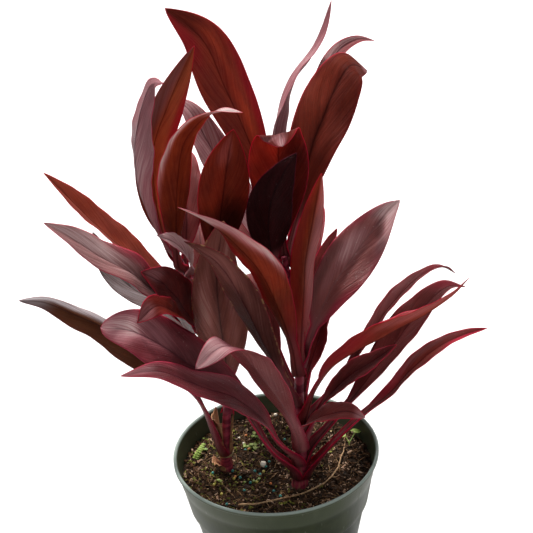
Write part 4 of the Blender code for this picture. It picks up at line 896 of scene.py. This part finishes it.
def build_leaf(name, spec, seed, materials, look):
    """A leaf as a thin shell, with what its material needs in UV layers."""
    middle, along, across, blade, flatness, wide, clasp = leaf_sheet(name.split("_")[0], spec, seed)
    normals = surface_normals(middle)
    reach = across * wide
    thick = THICK_PETIOLE * (1 - flatness) + THICK_BLADE * flatness
    thick = thick * (1 - 0.55 * np.abs(across) ** 5) * (1 - 0.5 * clasp)
    rib = RIB_RISE * (1 - blade) ** 0.9 * np.exp(-(reach / 1.5) ** 2) * flatness
    groove = GROOVE_DEPTH * np.exp(-(reach / 0.8) ** 2) * flatness * (1 - blade ** 4)
    tip = 1 - 0.6 * blade ** 12
    points = shell(middle + normals * ((0.4 * thick - groove) * tip)[..., None],
                   middle - normals * ((0.6 * thick + rib) * tip)[..., None])
    faces = sheet_faces(*across.shape)
    slots = np.zeros(len(faces))
    grid = (across.shape[0] - 1) * (across.shape[1] - 1)
    slots[grid:2 * grid] = 1
    piece = mesh_object("blade_" + name, (points, faces), materials, slots)
    stalk = spec["stalk"]
    painted_sheen, lit, flush, dim = (painted(blade, across, *look[key])
                             for key in ("painted_sheen", "lit", "flush", "dim"))
    layers = {"leaf": ((along - stalk) / (1 - stalk), across * 0.5 + 0.5),
              "edge": (reach / UV_REACH, wide * (1 - np.abs(across)) / UV_REACH),
              "painted_light": (painted_sheen, lit), "paint": (flush, dim),
              "kind": (seed * 0.618 % 1.0, look["tone"])}
    loops = np.zeros(len(piece.data.loops), dtype=np.int32)
    piece.data.loops.foreach_get("vertex_index", loops)
    for key, pair in layers.items():
        values = np.stack([np.broadcast_to(value, across.shape).flat for value in pair], axis=-1)
        layer = piece.data.uv_layers.new(name=key)
        layer.data.foreach_set("uv", values[loops % across.size].reshape(-1))
    dress(piece, "leaf_burgundy", "leaf_" + name)


def pot_profile():
    """From the middle of the floor up the inside, over the lip and down the outside, rounded."""
    lip, step, foot, top = RIM_RADIUS, COLLAR_BOTTOM_RADIUS, FOOT_RADIUS, POT_HEIGHT
    inner, hollow, ledge = step - POT_WALL, foot - POT_WALL, COLLAR_BOTTOM
    inside = [(0, POT_FLOOR), (hollow - 3.0, POT_FLOOR), (hollow - 0.6, 4.6),
              (inner - 2.4, ledge - 2.4), (inner - 1.2, ledge - 0.4), (inner + 0.4, ledge + 1.6),
              (lip - 6.2, top - 18.0), (lip - 3.1, top - 3.2), (lip - 2.5, top - 1.1),
              (lip - 1.9, top - 0.35)]
    rim = [(lip - 1.2, top), (lip - 0.5, top - 0.25), (lip, top - 0.9), (lip, top - 3.0),
           (lip - 0.4, top - 3.7), (lip - 1.5, top - 4.2)]
    outside = [(lip - 1.9, top - 6.0), (lip - 4.3, top - 17.6), (lip - 4.8, top - 18.6),
               (step + 0.2, ledge + 0.6), (step - 0.4, ledge - 0.4), (step - 1.6, ledge - 1.1),
               (step - 2.2, ledge - 2.2), (foot + 1.2, 6.0), (foot + 0.2, 1.6), (foot - 1.4, 0.0)]
    underside = [(foot - 8.0, 0.0), (foot - 9.0, 1.2), (33.0, 1.2), (32.0, 0.0), (0, 0)]
    return np.array(inside + rim + outside + underside)


def build_pot(material):
    """The pot as a fine turned shell, with the drain holes cut through its floor."""
    profile = pot_profile()
    fine = []
    for here, there in zip(profile, profile[1:]):
        pieces = max(1, int(math.dist(here, there) / POT_STEP))
        fine += [here + (there - here) * i / pieces for i in range(pieces)]
    ring = np.array(fine[1:])
    angles = ring_angles(POT_AROUND)
    out_of_round = 0.0022 * np.cos(2 * angles + 0.7) + 0.0008 * np.cos(5 * angles)
    radius = ring[:, :1] * (1 + out_of_round * np.clip((ring[:, 1:] - 20) / 90, 0, 1))
    points = np.stack([radius * np.cos(angles), radius * np.sin(angles),
                       np.repeat(ring[:, 1:], POT_AROUND, axis=1)], axis=-1).reshape(-1, 3)
    faces = round_faces(len(ring), POT_AROUND, len(points), len(points) + 1, turned=True)
    points = np.vstack([points, (0, 0, POT_FLOOR), (0, 0, 0)])
    pot = mesh_object("nursery_pot", (points, faces), [material])
    holes = []
    for index in range(DRAIN_HOLES):
        angle = math.tau * (index + 0.5) / DRAIN_HOLES
        x, y = DRAIN_RING * math.cos(angle), DRAIN_RING * math.sin(angle)
        holes.append(tube([(x, y, -2), (x, y, 6)], [DRAIN_RADIUS] * 2, DRAIN_AROUND))
    cutter = mesh_object("drain_cutter", joined(holes), [material])
    cut = pot.modifiers.new("drain", "BOOLEAN")
    cut.operation = "DIFFERENCE"
    cut.object = cutter
    cut.solver = "EXACT"
    bpy.context.view_layer.update()
    graph = bpy.context.evaluated_depsgraph_get()
    whole = bpy.data.meshes.new_from_object(pot.evaluated_get(graph))
    pot.modifiers.clear()
    pot.data = whole
    bpy.data.objects.remove(cutter, do_unlink=True)
    whole.polygons.foreach_set("use_smooth", np.ones(len(whole.polygons), dtype=bool))
    whole.set_sharp_from_angle(angle=POT_SHARP)
    dress(pot, "pot_green", "pot")


def inner_radius(height):
    """The CAD pot's inner radius at a height."""
    foot, step = FOOT_RADIUS - POT_WALL, COLLAR_BOTTOM_RADIUS - POT_WALL
    heights = (POT_FLOOR, COLLAR_BOTTOM - 2.0, COLLAR_BOTTOM + 1.2, POT_HEIGHT - 3.0)
    return float(np.interp(height, heights, (foot - 1.0, step - 2.4, step + 0.2, RIM_RADIUS - 3.0)))


def soil_height(x, y):
    """The potting mix's top: heaped a little, and crumbly."""
    calm = 1.0 - min(math.hypot(x, y) / inner_radius(SOIL_TOP), 1.0) ** 6
    heap = 0.9 * lumps(x * 0.05, y * 0.05, 3.7) + 0.8 * lumps(x * 0.21, y * 0.21, 8.1)
    return SOIL_TOP + calm * SOIL_RELIEF * heap


def build_bed(material):
    """The body of the potting mix, with a fine crumbly top."""
    points = [(0.0, 0.0, soil_height(0, 0))]
    for ring in range(1, BED_RINGS + 1):
        for x, y, _ in circle((inner_radius(SOIL_TOP) + 0.6) * ring / BED_RINGS, 0, BED_AROUND):
            lump = lumps(x * 0.45, y * 0.45, 1.0) + 0.6 * lumps(x * 1.1, y * 1.1, 5.0)
            points.append((x, y, soil_height(x, y) + 0.75 * lump - 0.35))
    step = COLLAR_BOTTOM_RADIUS - POT_WALL - PIECE_GAP
    floor = POT_FLOOR + PIECE_GAP
    for radius, height in ((step, COLLAR_BOTTOM + 1.4), (step - 2.6, COLLAR_BOTTOM - 1.8),
                           (FOOT_RADIUS - POT_WALL - 1.2 - PIECE_GAP, floor)):
        points += circle(radius, height, BED_AROUND)
    faces = round_faces(BED_RINGS + 3, BED_AROUND, 0, len(points), start=1, turned=True)
    dressed("potting_mix_bed", (points + [(0.0, 0.0, floor)], faces), material, "potting_mix",
            "soil")


CUBE = np.array([(x, y, z) for x in (-0.5, 0.5) for y in (-0.5, 0.5) for z in (-0.5, 0.5)])
CUBE_FACES = [(0, 1, 3, 2), (4, 6, 7, 5), (0, 4, 5, 1), (2, 3, 7, 6), (0, 2, 6, 4), (1, 5, 7, 3)]


def scattered(random, count, spread=1.0, lean=0.0):
    """Places on the potting mix, off the canes' feet, thicker towards the left when leaning."""
    reach = inner_radius(SOIL_TOP) - WALL_CLEAR
    places = []
    while len(places) < count:
        x, y = random.uniform(-reach, reach, 2)
        if math.hypot(x, y) > reach * spread:
            continue
        if lean and random.uniform() > 0.5 - lean * x / reach:
            continue
        feet = (way[0] for way in CANES.values())
        if min(math.hypot(x - foot[0], y - foot[1]) - foot[3] for foot in feet) >= FOOT_CLEAR:
            places.append((x, y))
    return places


def turned_matrix(random, tilt):
    turn = Matrix.Rotation(random.uniform(0, math.tau), 3, "Z")
    lean = Matrix.Rotation(random.normal(0, tilt), 3, "X")
    return np.array(turn @ (lean @ Matrix.Rotation(random.normal(0, tilt), 3, "Y")))


def chip_pieces(random, count, length, width, height, tilt, sink=0.2, lean=0.0):
    """Bark shards: splintered boards lying every way."""
    parts = []
    for x, y in scattered(random, count, lean=lean):
        size = np.array([random.uniform(*length), random.uniform(*width), random.uniform(*height)])
        shape = CUBE * size * (1 + random.uniform(-0.38, 0.2, (8, 3)))
        shape[:, 2] += 0.12 * size[0] * (shape[:, 0] / size[0]) ** 2 * random.uniform(-1, 1)
        z = soil_height(x, y) + size[2] * (0.5 - sink) + random.uniform(-0.3, 0.7)
        parts.append((shape @ turned_matrix(random, tilt).T + (x, y, z), CUBE_FACES))
    return joined(parts)


def fibre_pieces(random, count, length, radius):
    """Thin curved strands of peat and root."""
    parts = []
    u = np.linspace(-0.5, 0.5, 6)
    for x, y in scattered(random, count, 0.97):
        size = random.uniform(*length)
        bow = random.uniform(-0.3, 0.3) * size * (0.25 - u * u) * 2
        way = np.stack([u * size, bow, 0.9 * np.cos(u * 3) + random.uniform(0, 0.8)], axis=-1)
        way = way @ turned_matrix(random, 0.12).T + (x, y, soil_height(x, y))
        parts.append(tube(way, random.uniform(*radius) * (1 - 0.5 * (2 * u) ** 2), 4))
    return joined(parts)


def ball_pieces(places, radii, lift, rough=0.0, random=None):
    """Round grains resting on the potting mix, uneven by a share where that is given."""
    ball = [point for tilt in np.linspace(0, math.pi, GRAIN_RINGS + 1)[1:-1]
            for point in circle(math.sin(tilt), math.cos(tilt), GRAIN_AROUND)]
    faces = round_faces(GRAIN_RINGS - 1, GRAIN_AROUND, len(ball), len(ball) + 1, turned=True)
    ball = np.array(ball + [(0, 0, 1), (0, 0, -1)])
    parts = []
    for (x, y), radius in zip(places, radii):
        shape = ball * radius
        if random is not None:
            shape = shape * (1 + random.uniform(-rough, rough, (len(ball), 1)))
        parts.append((shape + (x, y, soil_height(x, y) + radius * lift), faces))
    return joined(parts)


def build_cane(cane, material, seed):
    """A cane with a swollen foot, closely ringed where leaves fell, slightly lumpy all round."""
    way = smooth_way(CANES[cane], CANE_ROWS)
    x, y, _, foot = way[0]
    way = np.vstack([(x, y, SOIL_TOP - CANE_DEPTH, foot - 1.0),
                     (x, y, SOIL_TOP - CANE_DEPTH + 2.0, foot), (x, y, SOIL_TOP - 2.0, foot), way])
    centre = way[:, None, :3]
    angles = ring_angles(CANE_AROUND)
    gaps = np.cumsum(np.random.default_rng(seed).uniform(5.5, 9.5, 40))
    heights = way[:, 2:3] - SOIL_TOP
    near = np.min(np.abs(heights - gaps + 1.3 * np.sin(heights * 0.1)), axis=1, keepdims=True)
    scar = -0.32 * np.exp(-(near / 0.7) ** 2) + 0.12 * np.exp(-((near - 1.3) / 0.8) ** 2)
    lumpy = 0.18 * np.sin(3 * angles + 0.09 * heights) * np.cos(0.13 * heights + seed)
    radius = way[:, 3:] + scar + lumpy - 0.1
    rings = tube_rings(way[:, :3], np.ones(len(way)), CANE_AROUND)
    rings = (centre + (rings - centre) * radius[..., None]).reshape(-1, 3)
    points = np.vstack([rings, way[0, :3], way[-1, :3] + (0, 0, 0.8)])
    faces = round_faces(len(way), CANE_AROUND, len(rings), len(rings) + 1)
    dressed("stem_" + cane, (points, faces), material, "cane_bark", "cane_" + cane)


def build_sheath(name, material, low, high, facing, arc, flare, ragged, taper=0.62):
    """A dry leaf sheath that still wraps part of the left cane and peels away at its torn top."""
    rings = []
    for u in np.linspace(0, 1, SHEATH_ROWS):
        line = []
        for v in np.linspace(-1, 1, SHEATH_COLUMNS):
            tear = ragged * (lumps(v * 3.0, facing, 2.0) + 0.5 * lumps(v * 9.0, facing, 6.0))
            height = low + (high - low + tear) * u
            x, y, radius = cane_at("left", max(height, SOIL_TOP + 0.5))
            angle = math.radians(facing) + v * math.radians(arc) * (1 - taper * u ** 1.4)
            reach = radius + 0.55 + flare * u ** 2.2 + 0.35 * math.sin(7 * u + 3 * v)
            line.append((x + reach * math.cos(angle), y + reach * math.sin(angle), height))
        rings.append(line)
    rings = np.array(rings)
    points = shell(rings, rings - surface_normals(rings) * SHEATH_THICK)
    dressed(name, (points, sheet_faces(SHEATH_ROWS, SHEATH_COLUMNS)), material, "cane_bark")


def build_twig(material):
    """A dry wiry root that lies across the mix, with short side hairs."""
    way = []
    for x, y in smooth_way(TWIG_WAY, TWIG_ROWS):
        under = [soil_height(x + dx, y + dy) for dx in (-3, 0, 3) for dy in (-3, 0, 3)]
        way.append((x, y, max(under) + TWIG_RADIUS + PIECE_GAP))
    way = np.array(way)
    u = np.linspace(0, 1, len(way))
    way[:, 0] += 0.35 * np.sin(31 * u) + 0.2 * np.sin(77 * u)
    way[:, 1] += 0.3 * np.cos(27 * u)
    radii = TWIG_RADIUS * (1.0 - 0.4 * u) * (0.86 + 0.16 * np.sin(61 * u) * np.cos(19 * u))
    parts = [tube(way, radii, 9)]
    random = np.random.default_rng(5)
    steps = np.linspace(0, 1, 7)[:, None]
    for start in TWIG_HAIRS:
        turn = random.uniform(0, math.tau)
        reach = np.array([math.cos(turn), math.sin(turn), 0.12]) * random.uniform(5, 11)
        hair = way[start] + reach * steps + np.array([0.6, -0.8, -0.9]) * np.sin(3 * steps)
        parts.append(tube(hair, 0.34 * (1 - 0.7 * steps[:, 0]), 5))
    dressed("dry_twig", joined(parts), material, "twig_brown", "twig")


def weed_leaf(middle, length, width, turn, tilt, notch):
    """A small weed leaf as a thin cupped sheet; notch cuts a heart shape into its far end."""
    top = []
    for u in np.linspace(0, 1, WEED_ROWS):
        swell = math.sin(math.pi * (0.06 + 0.9 * u) ** 0.75) ** 0.7
        for v in np.linspace(-1, 1, WEED_COLUMNS):
            top.append(((u - notch * (1 - abs(v)) ** 2 * u ** 3 * 1.4) * length, v * width * swell,
                        0.25 * width * v * v - 0.16 * length * u * u))
    spin = np.array(Matrix.Rotation(turn, 3, "Z") @ Matrix.Rotation(tilt, 3, "Y"))
    points = shell(top, np.array(top) - (0, 0, WEED_THICK)) @ spin.T + np.asarray(middle, float)
    return points, sheet_faces(WEED_ROWS, WEED_COLUMNS)[:, ::-1]


def weed_stem(foot, shifts, count, thick, thin):
    """The way of a weed's stem, given from its foot on the mix, and its tube."""
    way = smooth_way(np.add((*foot, SOIL_TOP), shifts), count)
    return way, tube(way, np.linspace(thick, thin, count), 7)


def build_weeds(material):
    """The clover-like weed at the right and the fern-like one at the left."""
    stalk = weed_stem(CLOVER_FOOT, [(0, 0, -3), (0, 0, 2.5), (3.6, 5.5, 5), (6.4, 10.0, 6.6)],
                      22, 0.55, 0.4)[1]
    fork = weed_stem(CLOVER_FOOT, [(0, 0, -1), (-0.5, 1, 2.5), (-2.8, 5.4, 6.2)], 16, 0.5, 0.35)[1]
    leaves = [weed_leaf(np.add((*CLOVER_FOOT, SOIL_TOP), shift), *shape) for shift, *shape in (
        ((4.6, 8.2, 6.9), 6.6, 3.4, 0.55, 0.08, 0.32), ((5.4, 10.4, 6.7), 4.4, 2.4, 2.2, 0.15, 0.3),
        ((-2.6, 5.0, 6.2), 5.2, 2.7, 2.7, 0.1, 0.28))]
    dressed("clover", joined([stalk, fork, *leaves]), material, "weed_green", "weed_clover")
    way, stem = weed_stem(FERN_FOOT, [(0, 0, -3), (0, 0, 2.5), (3, 4, 6.5), (6.4, 9.4, 8.2)],
                          30, 0.55, 0.25)
    parts = [stem]
    for index in range(8, 30, 3):
        length = 3.9 * (1.15 - 0.6 * index / 30)
        parts += [weed_leaf(way[index] + (0, 0, 0.1), length, 0.42 * length, turn, 0.12, 0.12)
                  for turn in (0.95 - 1.15, 0.95 + 1.15)]
    parts.append(weed_leaf(way[-1], 2.6, 1.2, 1.0, 0.1, 0.1))
    dressed("fern_weed", joined(parts), material, "weed_green", "weed_fern")


# Seedlings: (x, y, how many leaves, how far they spread, leaf length)
SPROUTS = [(-17, 41, 9, 1.8, 3.2), (-18, 27, 12, 2.4, 3.6), (-48, -18, 4, 1.2, 2.6),
           (-17, -19, 4, 1.2, 2.4), (-27, 29, 6, 2.0, 2.8), (-59, 27, 4, 1.6, 3.0),
           (-10, 26, 4, 1.6, 2.4), (-57, 40, 4, 3.0, 2.6), (-36, -22, 5, 3.0, 2.0)]


def build_sprouts(material):
    """Seedlings and moss tufts between the canes."""
    random = np.random.default_rng(31)
    parts = []
    for x, y, count, reach, size in SPROUTS:
        for _ in range(count):
            dx, dy = random.normal(0, reach, 2)
            turn = random.uniform(0, math.tau)
            length = size * random.uniform(0.7, 1.3)
            low = soil_height(x + dx, y + dy)
            z = low + random.uniform(0.4, 2.4)
            parts.append(weed_leaf((x + dx, y + dy, z), length, length * random.uniform(0.3, 0.5),
                                   turn, random.uniform(-0.5, 0.3), 0.1))
            if z > low + 1.2:
                parts.append(tube([(x + dx, y + dy, z), (x + dx * 0.6, y + dy * 0.6, z - 3.0)],
                                  [0.22, 0.22], 4))
    dressed("sprouts", joined(parts), material, "weed_green")


# Bark, peat and dry skins: their dark and light colours, the scale of their grain, and, where
# they aren't the usual ones, their roughness and gloss
CRUMBS = {
    "bark_dark": ((0.006, 0.004, 0.003), (0.050, 0.027, 0.015), 160.0),
    "bark_brown": ((0.022, 0.010, 0.005), (0.105, 0.050, 0.023), 190.0),
    "bark_tan": ((0.22, 0.12, 0.07), (0.62, 0.42, 0.29), 210.0),
    "bark_wet": ((0.005, 0.003, 0.002), (0.070, 0.037, 0.020), 130.0, 0.75, 0.1),
    "moss": ((0.034, 0.036, 0.006), (0.22, 0.22, 0.045), 150.0),
    "peat_fibre": ((0.12, 0.06, 0.028), (0.36, 0.22, 0.11), 120.0, 0.8),
    "mix_bed": ((0.006, 0.004, 0.003), (0.040, 0.024, 0.014), 130.0),
    "twig_bark": ((0.20, 0.11, 0.055), (0.52, 0.34, 0.19), 150.0, 0.75),
    "dry_sheath": ((0.10, 0.018, 0.012), (0.42, 0.22, 0.10), 60.0, 0.6, 0.3),
    "leaf_scar": ((0.22, 0.14, 0.07), (0.45, 0.36, 0.20), 150.0, 0.6),
}
# Each heap on the mix: its material, how many pieces, their lengths, widths and heights, how far
# they tilt, how deep they sink and how far the heap leans to the left
HEAPS = {
    "bark_dark_shards": ("bark_wet", 1200, (2.2, 7.0), (1.1, 3.2), (0.6, 1.9), 0.45, 0.35),
    "bark_dark_crumbs": ("bark_dark", 2600, (0.8, 2.2), (0.6, 1.6), (0.5, 1.3), 0.7),
    "bark_brown_shards": ("bark_brown", 700, (2.2, 6.5), (0.9, 2.4), (0.5, 1.4), 0.5),
    "bark_brown_crumbs": ("bark_brown", 1500, (0.8, 2.4), (0.5, 1.4), (0.5, 1.2), 0.7),
    "bark_tan_shards": ("bark_tan", 190, (1.5, 5.0), (0.7, 1.9), (0.4, 1.1), 0.5, -0.3),
    "bark_tan_crumbs": ("bark_tan", 560, (0.6, 1.8), (0.4, 1.1), (0.4, 0.9), 0.7, -0.5),
    "moss_crumbs": ("moss", 420, (1.0, 3.6), (0.7, 2.2), (0.4, 1.0), 0.6, -0.3, 0.7),
}
PERLITE = [(-11, 0, 2.6), (42, 10, 1.3), (2, 70, 1.5), (-26, 33, 1.3), (-30, 40, 1.2),
           (33, -30, 0.9), (-3, 52, 1.2)]
# Each colour of feed prill: two colours, radius, how far it stands out, and places
PRILLS = {
    "teal": ((0.02, 0.17, 0.155), (0.05, 0.28, 0.24), 1.25, 1.3, [
        (-5, 62), (-25, 23), (-6, 4), (-30, -14), (-4, -34), (1, -41), (-41, -47), (-14, -12),
        (-36, -4), (-9, -2), (-18, -8), (-22, -22), (-52, -6), (8, 33), (-27, -31), (27, 44)]),
    "orange": ((0.62, 0.16, 0.04), (0.75, 0.30, 0.10), 1.15, 1.3, [
        (-24, 43), (-49, 30), (-34, -12), (-22, 24), (-41, 26), (-6, -25)]),
    "yellow": ((0.46, 0.38, 0.05), (0.74, 0.62, 0.20), 1.2, 1.25, [
        (-17, -22), (-35, -14), (-51, -21), (-38, 8), (-11, -8), (-45, -33)]),
}
# Each dry sheath of the left cane: its lower and upper height, the angles that it faces and spans,
# how far it peels off, how ragged its top is and how far it narrows
SHEATHS = {
    "sheath_left_a": ("dry_sheath", 122, 160, 190, 52, 8.5, 6.0, -0.15),
    "sheath_left_b": ("dry_sheath", 126, 158, -25, 30, 1.0, 6.0),
    "sheath_left_c": ("dry_sheath", 110, 119, 205, 62, 6.5, 8.0, 0.2),
    "leaf_scar_ring": ("leaf_scar", 122.8, 124.8, -90, 165, 0.4, 0.5, 0.0),
}


def build_crumbs(materials):
    """Everything loose that lies on the potting mix."""
    random = np.random.default_rng(7)
    for name, (material, *size) in HEAPS.items():
        dressed(name, chip_pieces(random, *size), materials[material], "potting_mix", smooth=False)
    fibres = fibre_pieces(random, 330, (5.0, 17.0), (0.14, 0.32))
    dressed("peat_fibres", fibres, materials["peat_fibre"], "potting_mix", smooth=False)
    grains = ball_pieces([p[:2] for p in PERLITE], [p[2] for p in PERLITE], 0.9, 0.16, random)
    white = bead_material("perlite", (0.95, 0.90, 0.78), (0.80, 0.70, 0.52))
    dressed("perlite_grains", grains, white, "potting_mix")
    for name, (colour, other, radius, lift, places) in PRILLS.items():
        dressed(name + "_prills", ball_pieces(places, [radius] * len(places), lift),
                bead_material("feed_" + name, colour, other), "potting_mix")


def build_camera():
    """The photograph's view."""
    turn = Matrix.Translation(CAMERA_PLACE)
    for angle, axis in ((-CAMERA_YAW, "Z"), (90 - CAMERA_PITCH, "X"), (CAMERA_ROLL, "Z")):
        turn = turn @ Matrix.Rotation(math.radians(angle), 4, axis)
    data = bpy.data.cameras.new("camera")
    data.sensor_width = SENSOR
    data.lens = FOCAL_PIXELS / IMAGE_PIXELS * SENSOR
    data.clip_start = CAMERA_NEAR
    camera = bpy.data.objects.new("camera", data)
    camera.matrix_world = turn
    bpy.context.scene.collection.objects.link(camera)
    bpy.context.scene.camera = camera


def build_lights():
    for name, (place, aim, size, power, colour) in LIGHTS.items():
        data = bpy.data.lights.new(name, "AREA")
        data.shape = "RECTANGLE"
        data.size, data.size_y = size
        data.energy = power
        data.color = colour
        light = bpy.data.objects.new(name, data)
        light.location = place
        light.rotation_euler = (Vector(aim) - Vector(place)).to_track_quat("-Z", "Y").to_euler()
        light.visible_camera = False
        bpy.context.scene.collection.objects.link(light)


def build_room():
    """A pale floor that curves up into a backdrop all round, and a faint even sky."""
    material, place = new_material("floor_pale")
    tone = mixed(place.noise(60.0), (0.60, 0.60, 0.60), (0.63, 0.63, 0.63))
    finished(material, tone, 0.9, gloss=0.1)
    bend = np.linspace(0, math.pi / 2, 13)
    rings = [(reach, 0.0) for reach in FLOOR_RINGS]
    rings += [(BEND_START + BEND_RADIUS * math.sin(b), BEND_RADIUS * (1 - math.cos(b)))
              for b in bend] + [(BEND_START + BEND_RADIUS, WALL_TOP)]
    points = [point for reach, height in rings for point in circle(reach, height, FLOOR_AROUND)]
    faces = round_faces(len(rings), FLOOR_AROUND, len(points), turned=True)
    mesh_object("floor", (points + [(0.0, 0.0, 0.0)], faces), [material])
    world = bpy.data.worlds.new("studio")
    world.use_nodes = True
    background = world.node_tree.nodes["Background"].inputs
    background["Color"].default_value = SKY_COLOUR
    background["Strength"].default_value = SKY_STRENGTH
    bpy.context.scene.world = world


def main():
    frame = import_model()
    build_camera()
    build_room()
    build_lights()
    skins = {name: leaf_material("skin_" + name, *row) for name, row in SKINS.items()}
    for index, (name, spec) in enumerate(LEAVES.items()):
        row = LOOKS.get(name, PLAIN)
        build_leaf(name, spec, index, [skins[skin] for skin in row["skins"]], row)
    materials = {name: crumb_material(name, *row) for name, row in CRUMBS.items()}
    bark = cane_material()
    build_cane("left", bark, 3)
    build_cane("right", bark, 8)
    for name, (material, *size) in SHEATHS.items():
        build_sheath(name, materials[material], *size)
    build_pot(pot_material())
    build_bed(materials["mix_bed"])
    build_crumbs(materials)
    build_twig(materials["twig_bark"])
    build_weeds(green_material("weed_leaf", (0.22, 0.34, 0.05), (0.46, 0.58, 0.15)))
    build_sprouts(green_material("sprout_leaf", (0.15, 0.24, 0.03), (0.36, 0.44, 0.10)))
    bpy.context.scene.view_settings.view_transform = "Standard"
    bpy.context.view_layer.update()
    print("nodes", len(frame["nodes"]))


main()
